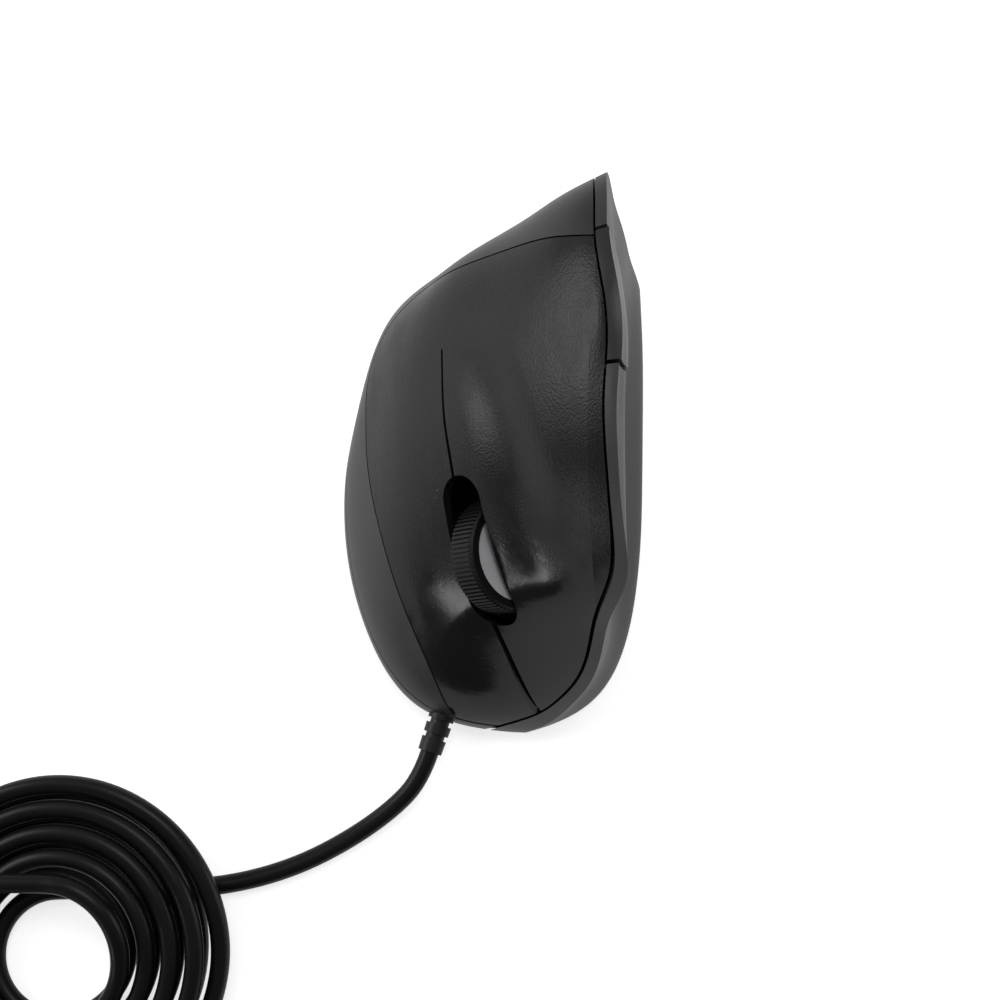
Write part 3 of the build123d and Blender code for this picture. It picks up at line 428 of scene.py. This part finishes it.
@dataclass(frozen=True)
class Metal:
    """Plated or bright metal, with fine turning marks."""

    name: str
    base: Colour = (0.70, 0.71, 0.73)
    rough: float = 0.24
    metallic: float = 1.0
    brush_scale: float = 1200.0
    brush_depth: float = 0.00001
    cloud_scale: float = 160.0
    tint: float = 0.82

    def build(self) -> bpy.types.Material:
        """Makes the material.

        Returns:
            The material.
        """
        tree = MaterialTree(self.name)
        brushed = tree.noise(self.brush_scale, 3.0, 0.6, (1.0, 0.15, 1.0))
        cloud = tree.noise(self.cloud_scale, 3.0, 0.5)
        darker = tuple(value * self.tint for value in self.base)
        tree.set(Base_Color=tree.mix(cloud, self.base, darker), Metallic=self.metallic,
                 Roughness=self.rough + (brushed - 0.5) * 0.16,
                 Normal=tree.bump(brushed, self.brush_depth, 0.5))
        return tree.material


@dataclass(frozen=True)
class Moulding:
    """Plain moulded plastic of the inner pieces."""

    name: str
    base: Colour
    rough: float = 0.5
    tint: float = 0.82
    cloud_scale: float = 220.0
    fine_scale: float = 1400.0
    fine_depth: float = 0.00002

    def build(self) -> bpy.types.Material:
        """Makes the material.

        Returns:
            The material.
        """
        tree = MaterialTree(self.name)
        cloud = tree.noise(self.cloud_scale, 3.0, 0.5)
        darker = tuple(value * self.tint for value in self.base)
        tree.set(Base_Color=tree.mix(cloud, self.base, darker), Roughness=self.rough + (cloud - 0.5) * 0.12,
                 Normal=tree.bump(tree.noise(self.fine_scale, 2.0), self.fine_depth, 0.5))
        return tree.material


@dataclass(frozen=True)
class CircuitBoard:
    """Green solder mask over copper tracks."""

    mask: Colour = (0.012, 0.095, 0.035)
    track: Colour = (0.03, 0.17, 0.07)
    track_scale: float = 260.0
    track_depth: float = 0.00003
    rough: float = 0.34

    def build(self) -> bpy.types.Material:
        """Makes the material.

        Returns:
            The material.
        """
        tree = MaterialTree("circuit_board")
        lines = tree.node("ShaderNodeTexWave", {"bands_direction": "DIAGONAL"},
                          {"Vector": tree.place(), "Scale": self.track_scale,
                           "Distortion": 2.0, "Detail": 0.0})
        tracks = SocketExpression(tree, lines.outputs["Fac"]).fade(0.72, 0.80)
        broken = tree.noise(self.track_scale, 0.0).fade(0.46, 0.50)
        tree.set(Base_Color=tree.mix(tracks * broken, self.mask, self.track),
                 Roughness=self.rough + tracks * 0.08,
                 Normal=tree.bump(tracks * broken, self.track_depth, 0.6))
        return tree.material


@dataclass(frozen=True)
class Clear:
    """Clear or tinted moulded plastic."""

    name: str
    base: Colour
    rough: float = 0.08
    cloud_scale: float = 300.0
    clearness: float = 0.9
    refraction: float = 1.49

    def build(self) -> bpy.types.Material:
        """Makes the material.

        Returns:
            The material.
        """
        tree = MaterialTree(self.name)
        cloud = tree.noise(self.cloud_scale, 2.0)
        tree.set(Base_Color=self.base, Roughness=self.rough + cloud * 0.05,
                 Transmission_Weight=self.clearness, IOR=self.refraction)
        return tree.material


class Finish(Enum):
    """The finishes that the pieces can have."""

    GLOSS = GlossBlack()
    SATIN = SatinBlack()
    # The thumb side's colours are lighter than the satin black's to stand in for the floor's reflection on
    # that face: painted sheen.
    THUMB_PAINTED_SHEEN = SatinBlack("thumb_side_painted_sheen", (0.026, 0.026, 0.027), (0.044, 0.044, 0.046), 0.42)
    DARK = Moulding("dark_moulding", (0.035, 0.035, 0.038), 0.55)
    GLIDE = Moulding("glide_foot", (0.02, 0.02, 0.022), 0.3)
    TYRE = Rubber("wheel_rubber", (0.004, 0.004, 0.0045), 0.50, shine=0.25)
    CORD = Rubber("cord_sheath", (0.004, 0.004, 0.0045), 0.36, 0.00001, 700.0, 0.22)
    SLEEVE = Rubber("sleeve_rubber", (0.006, 0.006, 0.007), 0.44, shine=0.35)
    SILVER = Metal("silver_disc", (0.90, 0.91, 0.93), 0.30, 0.25)
    STEEL = Metal("plated_steel", (0.62, 0.62, 0.63), 0.28)
    BRASS = Metal("plated_brass", (0.83, 0.62, 0.30), 0.26)
    BOARD = CircuitBoard()
    CHIP = Moulding("chip_package", (0.018, 0.018, 0.019), 0.42)
    IVORY = Moulding("ivory_moulding", (0.74, 0.71, 0.62), 0.42, 0.92)
    RED = Moulding("red_moulding", (0.50, 0.03, 0.025), 0.38, 0.85)
    CLEAR = Clear("clear_moulding", (0.90, 0.93, 0.95))
    LAMP = Clear("tinted_lamp", (0.85, 0.10, 0.08))


class Finishes:
    """Makes each finish once and gives it to pieces."""

    def __init__(self) -> None:
        """Starts with none made."""
        self.made: dict[Finish, bpy.types.Material] = {}

    def dress(self, piece: bpy.types.Object, finish: Finish) -> None:
        """Gives a piece a finish.

        Args:
            piece: The piece.
            finish: Its finish.
        """
        if finish not in self.made:
            self.made[finish] = finish.value.build()
        piece.data.materials.clear()
        piece.data.materials.append(self.made[finish])


@dataclass
class SubAssembly:
    """What all sub-assemblies share: dressing of the frame's nodes."""

    finishes: Finishes
    looks: dict[str, Finish] = field(default_factory=dict)

    def dress_nodes(self) -> None:
        """Gives each of the sub-assembly's nodes its finish."""
        for node, finish in self.looks.items():
            self.finishes.dress(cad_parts[node], finish)
            LOG.info("%s is dressed as %s", node, finish.name)

    def add(self, name: str, mesh: bpy.types.Mesh, finish: Finish, body: str, slot: str) -> bpy.types.Object:
        """Adds a piece of the scene's own.

        Args:
            name: The piece's name.
            mesh: Its mesh, in the part's frame.
            finish: Its finish.
            body: The body that it rides on.
            slot: The material slot that it stands for; it is not used.

        Returns:
            The new object.
        """
        piece = bpy.data.objects.new(name, mesh)
        bpy.context.scene.collection.objects.link(piece)
        self.finishes.dress(piece, finish)
        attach(piece, body)
        LOG.info("%s rides on %s", name, body)
        return piece


@dataclass
class Casing(SubAssembly):
    """Shells, keys, thumb buttons and feet, with the thin web that joins the keys to their panel."""

    looks: dict[str, Finish] = field(default_factory=lambda: {
        "palm_shell": Finish.SATIN, "thumb_shell": Finish.THUMB_PAINTED_SHEEN, "base_tray": Finish.SATIN,
        "button_panel": Finish.GLOSS, "left_key": Finish.GLOSS, "right_key": Finish.GLOSS,
        "resolution_button": Finish.SATIN, "forward_button": Finish.SATIN, "back_button": Finish.SATIN,
        "glide_feet": Finish.GLIDE, "case_screws": Finish.STEEL})
    panel_slope: float = 50.0
    hinge_y: float = 24.0 * MM
    web_half: float = 0.19 * MM
    web_lift: float = 0.006 * MM
    web_step: float = 0.5 * MM
    web_low: float = -12.0 * MM
    web_high: float = 70.0 * MM
    cast_from: float = 90.0 * MM
    same_skin: float = 0.5 * MM
    widest_break: int = 3
    tongue_places: tuple[tuple[float, float, float], ...] = (
        (-2.0, -54.3, 0.3), (0.9, -54.0, 0.6), (5.3, -53.2, 0.9), (12.6, -50.9, 0.9), (17.0, -48.4, 0.9))
    tongue_low: float = 2.0 * MM
    tongue_high: float = 3.2 * MM

    def build(self) -> None:
        """Adds the web over the keys' hinge line and the tongue behind the front seam."""
        self.add("hinge_web", self.web(), Finish.GLOSS, "casing", "gloss_black")
        self.add("seam_tongue", self.tongue(), Finish.DARK, "casing", "dark_plastic")

    def tongue(self) -> bpy.types.Mesh:
        """A strip of the tray that lies behind the seam with the thumb side.

        Returns:
            The mesh.
        """
        mesh = bmesh.new()
        rings = []
        for x, y, half in self.tongue_places:
            low, high = self.tongue_low, self.tongue_high
            corners = ((-half, low), (half, low), (half, high), (-half, high))
            rings.append([mesh.verts.new((x * MM, (y + side) * MM, z)) for side, z in corners])
        for low, high in zip(rings, rings[1:]):
            for i in range(4):
                mesh.faces.new((low[i], low[(i + 1) % 4], high[(i + 1) % 4], high[i]))
        mesh.faces.new(rings[0])
        mesh.faces.new(rings[-1])
        return finish_mesh(mesh, "seam_tongue")

    def web(self) -> bpy.types.Mesh:
        """A strip that closes the hinge gap, flush with the keys and the panel.

        Returns:
            The mesh.
        """
        skins = [Skin(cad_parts[name]) for name in ("button_panel", "left_key", "right_key")]
        slope = math.radians(self.panel_slope)
        up_slope = Vector((math.cos(slope), 0.0, math.sin(slope)))
        outward = Vector((-math.sin(slope), 0.0, math.cos(slope)))
        vertices: list[Vector] = []
        normals: list[Vector] = []
        faces: list[tuple[int, int, int, int]] = []
        last = None
        for i in range(int((self.web_high - self.web_low) / self.web_step)):
            along = self.web_low + i * self.web_step
            found = []
            for y in (self.hinge_y - self.web_half, self.hinge_y + self.web_half):
                start = up_slope * along + Vector((0.0, y, 0.0)) + outward * self.cast_from
                hits = [hit for hit in (skin.hit(start, -outward) for skin in skins) if hit]
                if hits:
                    found.append(max(hits, key=lambda hit: hit[0].dot(outward)))
            if len(found) < 2 or (found[0][0] - found[1][0]).length > self.same_skin:
                continue
            vertices += [place + normal * self.web_lift for place, normal in found]
            normals += [normal for place, normal in found]
            count = len(vertices)
            if last is not None and i - last <= self.widest_break:
                faces.append((count - 2, count - 1, count - 3, count - 4))
            last = i
        mesh = bpy.data.meshes.new("hinge_web")
        mesh.from_pydata(vertices, [], faces)
        mesh.shade_smooth()
        mesh.normals_split_custom_set_from_vertices(normals)
        return mesh


class Skin:
    """A node's surface, for finding the point and the smooth normal under a ray."""

    def __init__(self, node: bpy.types.Object) -> None:
        """Reads the node's faces.

        Args:
            node: The node, whose place is in its mesh.
        """
        self.mesh = node.data
        vertices = [vertex.co for vertex in self.mesh.vertices]
        self.tree = BVHTree.FromPolygons(vertices, [tuple(face.vertices) for face in self.mesh.polygons])

    def hit(self, start: Vector, direction: Vector) -> tuple[Vector, Vector] | None:
        """Finds the first point that a ray meets.

        Args:
            start: Where the ray starts.
            direction: Its direction.

        Returns:
            The point and the normal there, or nothing.
        """
        place, flat, index, distance = self.tree.ray_cast(start, direction)
        if place is None:
            return None
        face = self.mesh.polygons[index]
        shares = poly_3d_calc([self.mesh.vertices[i].co for i in face.vertices], place)
        corners = [self.mesh.corner_normals[i].vector for i in face.loop_indices]
        normal = Vector()
        for share, corner in zip(shares, corners):
            normal += corner * share
        return place, normal.normalized()


@dataclass
class WheelGroup(SubAssembly):
    """The scroll wheel with its cradle and encoder."""

    looks: dict[str, Finish] = field(default_factory=lambda: {
        "wheel_tyre": Finish.TYRE, "wheel_hub": Finish.SILVER, "wheel_cradle": Finish.DARK,
        "wheel_bracket": Finish.DARK, "cradle_pin": Finish.STEEL, "encoder_disc": Finish.DARK,
        "encoder_emitter": Finish.CLEAR, "encoder_detector": Finish.CHIP, "wheel_switch": Finish.CHIP,
        "wheel_plunger": Finish.IVORY})


@dataclass
class Electronics(SubAssembly):
    """Boards and what stands on them, with small chips, capacitors and resistors of the scene's own."""

    looks: dict[str, Finish] = field(default_factory=lambda: {
        "main_board": Finish.BOARD, "key_board": Finish.BOARD, "side_board": Finish.BOARD,
        "board_screws": Finish.STEEL, "optical_sensor": Finish.CHIP, "sensor_lens": Finish.CLEAR,
        "sensor_lamp": Finish.LAMP, "cable_header": Finish.IVORY, "cable_socket": Finish.IVORY,
        "key_frame": Finish.DARK, "side_bracket": Finish.DARK, "left_switch": Finish.CHIP,
        "right_switch": Finish.CHIP, "left_plunger": Finish.RED, "right_plunger": Finish.RED,
        "forward_switch": Finish.CHIP, "back_switch": Finish.CHIP, "resolution_switch": Finish.CHIP,
        "forward_plunger": Finish.IVORY, "back_plunger": Finish.IVORY, "resolution_plunger": Finish.IVORY})
    board_top: float = 7.6 * MM
    chip_places: tuple[tuple[float, float, float, float], ...] = (
        (-17.6, 16.0, 5.0, 4.0), (-4.5, 16.0, 3.0, 3.0), (-17.0, -14.0, 4.0, 3.0))
    chip_height: float = 1.1 * MM
    leg_size: float = 0.35 * MM
    leg_pitch: float = 0.8
    leg_reach: float = 0.3
    can_places: tuple[tuple[float, float], ...] = ((-10.0, 21.0), (-3.5, -17.0), (-14.0, -20.0))
    can_radius: float = 1.6 * MM
    can_height: float = 3.6 * MM
    can_sides: int = 24
    can_profile: tuple[tuple[float, float], ...] = (
        (0.0, 0.0), (1.0, 0.0), (1.0, 0.12), (0.9, 0.17), (1.0, 0.22), (1.0, 0.95), (0.93, 1.0), (0.0, 1.0))
    resistor_size: Point = (1.6 * MM, 0.8 * MM, 0.5 * MM)
    resistor_start: tuple[float, float] = (-20.3, 2.0)
    resistor_pitch: tuple[float, float] = (2.3, 2.4)
    resistor_stray: float = 0.3
    resistor_seed: int = 7

    def build(self) -> None:
        """Adds the small parts of the main board."""
        self.add("board_chips", self.chips(), Finish.CHIP, "casing", "chip")
        self.add("board_chip_legs", self.legs(), Finish.STEEL, "casing", "steel")
        self.add("board_capacitors", self.cans(), Finish.STEEL, "casing", "silver")
        self.add("board_resistors", self.resistors(), Finish.IVORY, "casing", "ivory")

    def chips(self) -> bpy.types.Mesh:
        """The flat chips' packages, with bevelled edges.

        Returns:
            The mesh.
        """
        mesh = bmesh.new()
        for x, y, width, depth in self.chip_places:
            low = Vector((x * MM, y * MM, self.board_top + self.chip_height / 2 + self.leg_size / 2))
            shape = Matrix.Translation(low) @ Matrix.Diagonal((width * MM, depth * MM, self.chip_height, 1))
            made = bmesh.ops.create_cube(mesh, size=1, matrix=shape)
            edges = {edge for vertex in made["verts"] for edge in vertex.link_edges}
            bmesh.ops.bevel(mesh, geom=list(edges), offset=0.12 * MM, segments=1, affect="EDGES")
        return finish_mesh(mesh, "board_chips")

    def legs(self) -> bpy.types.Mesh:
        """The chips' legs, a row on each long side.

        Returns:
            The mesh.
        """
        mesh = bmesh.new()
        for x, y, width, depth in self.chip_places:
            count = int(width / self.leg_pitch)
            for i in range(count):
                for side in (-1, 1):
                    place = Vector(((x - width / 2 + (i + 0.5) * width / count) * MM,
                                    (y + side * (depth / 2 + self.leg_reach)) * MM,
                                    self.board_top + self.leg_size / 2))
                    size = Matrix.Diagonal((self.leg_size, self.leg_pitch * MM, self.leg_size, 1))
                    bmesh.ops.create_cube(mesh, size=1, matrix=Matrix.Translation(place) @ size)
        return finish_mesh(mesh, "board_chip_legs")

    def cans(self) -> bpy.types.Mesh:
        """The round capacitors, each with a rolled groove.

        Returns:
            The mesh.
        """
        mesh = bmesh.new()
        ring = self.can_sides
        angles = [2 * math.pi * i / ring for i in range(ring)]
        for x, y in self.can_places:
            rows = []
            for share, height in self.can_profile:
                radius = share * self.can_radius
                z = self.board_top + height * self.can_height
                rows.append([mesh.verts.new((x * MM + radius * math.cos(angle),
                                             y * MM + radius * math.sin(angle), z)) for angle in angles])
            for low, high in zip(rows, rows[1:]):
                for i in range(ring):
                    mesh.faces.new((low[i], low[(i + 1) % ring], high[(i + 1) % ring], high[i]))
        bmesh.ops.remove_doubles(mesh, verts=mesh.verts, dist=1e-6)
        return finish_mesh(mesh, "board_capacitors")

    def resistors(self) -> bpy.types.Mesh:
        """Scattered small resistors.

        Returns:
            The mesh.
        """
        draw = random.Random(self.resistor_seed)
        mesh = bmesh.new()
        start, pitch, stray = self.resistor_start, self.resistor_pitch, self.resistor_stray
        for row in range(4):
            for i in range(2):
                place = Vector(((start[0] + i * pitch[0] + draw.uniform(-stray, stray)) * MM,
                                (start[1] + row * pitch[1]) * MM, self.board_top + self.resistor_size[2] / 2))
                shape = Matrix.Translation(place) @ Matrix.Diagonal((*self.resistor_size, 1))
                made = bmesh.ops.create_cube(mesh, size=1, matrix=shape)
                edges = {edge for vertex in made["verts"] for edge in vertex.link_edges}
                bmesh.ops.bevel(mesh, geom=list(edges), offset=0.08 * MM, segments=1, affect="EDGES")
        return finish_mesh(mesh, "board_resistors")


def finish_mesh(mesh: bmesh.types.BMesh, name: str) -> bpy.types.Mesh:
    """Turns a working mesh into a mesh with normals outward.

    Args:
        mesh: The working mesh, which is freed.
        name: The new mesh's name.

    Returns:
        The mesh.
    """
    bmesh.ops.recalc_face_normals(mesh, faces=mesh.faces)
    data = bpy.data.meshes.new(name)
    mesh.to_mesh(data)
    mesh.free()
    return data


@dataclass
class Cable(SubAssembly):
    """The cable: its sleeve, the free cord with its coil, and the plug."""

    looks: dict[str, Finish] = field(default_factory=lambda: {
        "strain_relief": Finish.SLEEVE, "inner_cable": Finish.CORD, "plug_overmould": Finish.SLEEVE,
        "plug_shell": Finish.STEEL, "plug_block": Finish.IVORY, "plug_contacts": Finish.BRASS})
    diameter: float = 4.2 * MM
    start: tuple[float, float] = (-98.0 * MM, -90.6 * MM)
    pitch: float = 5.3 * MM
    rise: float = 4.9 * MM
    end_lift: float = 3.8 * MM
    inner_radius: float = 12.6 * MM
    steps: int = 18
    last_steps: int = 16
    hump_height: float = 5.3 * MM
    hump_angle: float = 50.0
    hump_spread: float = 120.0
    points_per_quarter: int = 6
    length: float = 1.656

    def coil_place(self, step: float) -> Point:
        """The coil's centre line after so many quarter turns.

        Args:
            step: The number of quarter turns, from the coil's start.

        Returns:
            The point, in metres.
        """
        period = self.steps + 2
        outer_radius = self.inner_radius + self.pitch * self.steps / 4
        outward = step < period
        quarter = step if outward else step - period
        change = min(quarter, 2 * self.steps + 2 - quarter) * self.pitch / 4
        radius = self.inner_radius + change if outward else outer_radius - change
        angle = 90 + 90 * step
        off = (angle - self.hump_angle + 180) % 360 - 180
        hump = self.hump_height * (1 + math.cos(math.pi * min(abs(off) / self.hump_spread, 1))) / 2
        last = self.steps + 2 + self.last_steps
        height = self.diameter / 2 + hump * smooth_step(step / 2)
        height += self.rise * smooth_step((step - self.steps) / 2)
        height += self.end_lift * smooth_step((step - last + 2) / 2)
        return (self.start[0] + radius * math.cos(math.radians(angle)),
                self.start[1] - self.inner_radius + radius * math.sin(math.radians(angle)), height)

    def build(self) -> None:
        """Adds the cord as one smooth line from the sleeve to the plug."""
        count = (self.steps + 2 + self.last_steps) * self.points_per_quarter
        coil = [self.coil_place(i / self.points_per_quarter) for i in range(count + 1)]
        last = coil[-1]
        leaving = (last[0] - self.diameter, last[1], last[2])
        points = LEAD_POINTS + coil + [leaving] + TAIL_POINTS
        data = bpy.data.curves.new("cable_cord", "CURVE")
        data.dimensions = "3D"
        spline = data.splines.new("NURBS")
        spline.points.add(len(points) - 1)
        for point, place in zip(spline.points, points):
            point.co = (*place, 1.0)
        spline.order_u = 3
        spline.use_endpoint_u = True
        spline.resolution_u = 6
        data.bevel_depth = self.diameter / 2
        data.bevel_resolution = 5
        data.use_fill_caps = True
        piece = bpy.data.objects.new("cable_cord", data)
        bpy.context.scene.collection.objects.link(piece)
        self.finishes.dress(piece, Finish.CORD)
        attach(piece, "casing")
        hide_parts("cable_lead", "cable_coil", "cable_tail")
        LOG.info("cable_cord has %d points", len(points))


@dataclass
class Studio:
    """Floor, world and lamps."""

    floor_size: float = 3.0
    paper: Colour = (0.80, 0.80, 0.80)
    paper_rough: float = 0.9
    lamps: tuple[tuple[str, Point, Point, tuple[float, float], float], ...] = (
        ("lamp_left", (-0.80, 0.20, 0.40), (0.0, 0.0, 0.03), (0.50, 0.42), 2.7),
        ("lamp_top", (0.05, 0.35, 0.95), (0.0, 0.0, 0.02), (0.45, 0.35), 2.2),
        ("lamp_right", (0.85, 0.12, 0.20), (0.0, 0.0, 0.03), (0.40, 0.26), 1.1),
        ("lamp_window", (-0.80, -0.62, 0.16), (0.0, -0.03, 0.03), (0.30, 0.10), 0.5))
    world_strength: float = 0.24
    world_slope: float = 0.75
    white_to_camera: float = 0.72
    white_to_gloss: float = 0.40

    def build(self) -> None:
        """Makes floor, world and lamps."""
        self.build_floor()
        self.build_world()
        for name, place, target, size, power in self.lamps:
            self.build_lamp(name, place, target, size, power)
            LOG.info("%s is lit", name)

    def build_floor(self) -> None:
        """A pale floor that the camera sees as white, apart from shadows."""
        half = self.floor_size / 2
        mesh = bpy.data.meshes.new("floor")
        corners = [(-half, -half, 0), (half, -half, 0), (half, half, 0), (-half, half, 0)]
        mesh.from_pydata(corners, [], [(0, 1, 2, 3)])
        floor = bpy.data.objects.new("floor", mesh)
        bpy.context.scene.collection.objects.link(floor)
        tree = MaterialTree("floor_paper")
        tree.set(Base_Color=self.paper, Roughness=self.paper_rough)
        light_path = tree.node("ShaderNodeLightPath")
        seen = SocketExpression(tree, light_path.outputs["Is Camera Ray"])
        glossy = SocketExpression(tree, light_path.outputs["Is Glossy Ray"])
        through = SocketExpression(tree, light_path.outputs["Is Transmission Ray"])
        white = seen.at_least(through) * self.white_to_camera + glossy * self.white_to_gloss
        tree.set(Emission_Color=(1.0, 1.0, 1.0), Emission_Strength=white)
        mesh.materials.append(tree.material)

    def build_world(self) -> None:
        """An even pale sky that is white to the camera."""
        world = bpy.data.worlds.new("studio")
        bpy.context.scene.world = world
        world.use_nodes = True
        nodes = world.node_tree.nodes
        links = world.node_tree.links
        light_path = nodes.new("ShaderNodeLightPath")
        mixed = nodes.new("ShaderNodeMix")
        mixed.data_type = "FLOAT"
        links.new(light_path.outputs["Is Camera Ray"], mixed.inputs[0])
        parts = nodes.new("ShaderNodeSeparateXYZ")
        links.new(nodes.new("ShaderNodeTexCoord").outputs["Generated"], parts.inputs[0])
        slope = nodes.new("ShaderNodeMath")
        slope.operation = "MULTIPLY_ADD"
        slope.inputs[1].default_value = self.world_strength * self.world_slope
        slope.inputs[2].default_value = self.world_strength
        links.new(parts.outputs["Y"], slope.inputs[0])
        links.new(slope.outputs[0], mixed.inputs[2])
        mixed.inputs[3].default_value = 1.0
        nodes["Background"].inputs["Color"].default_value = (1.0, 1.0, 1.0, 1.0)
        links.new(mixed.outputs[0], nodes["Background"].inputs["Strength"])

    def build_lamp(self, name: str, place: Point, target: Point, size: tuple[float, float],
                   power: float) -> None:
        """A soft rectangular lamp.

        Args:
            name: The lamp's name.
            place: Where it hangs.
            target: The point that it faces.
            size: Its width and height.
            power: Its power in watts.
        """
        data = bpy.data.lights.new(name, "AREA")
        data.shape = "RECTANGLE"
        data.size, data.size_y = size
        data.energy = power
        lamp = bpy.data.objects.new(name, data)
        bpy.context.scene.collection.objects.link(lamp)
        lamp.location = place
        lamp.rotation_euler = (Vector(target) - Vector(place)).to_track_quat("-Z", "Y").to_euler()


def main() -> None:
    """Builds the sub-assemblies in order."""
    logging.basicConfig(level=logging.INFO)
    bpy.context.scene.view_settings.view_transform = "Standard"
    View().build()
    finishes = Finishes()
    casing = Casing(finishes)
    casing.dress_nodes()
    casing.build()
    WheelGroup(finishes).dress_nodes()
    electronics = Electronics(finishes)
    electronics.dress_nodes()
    electronics.build()
    cable = Cable(finishes)
    cable.dress_nodes()
    cable.build()
    Studio().build()


if __name__ == "__main__":
    main()
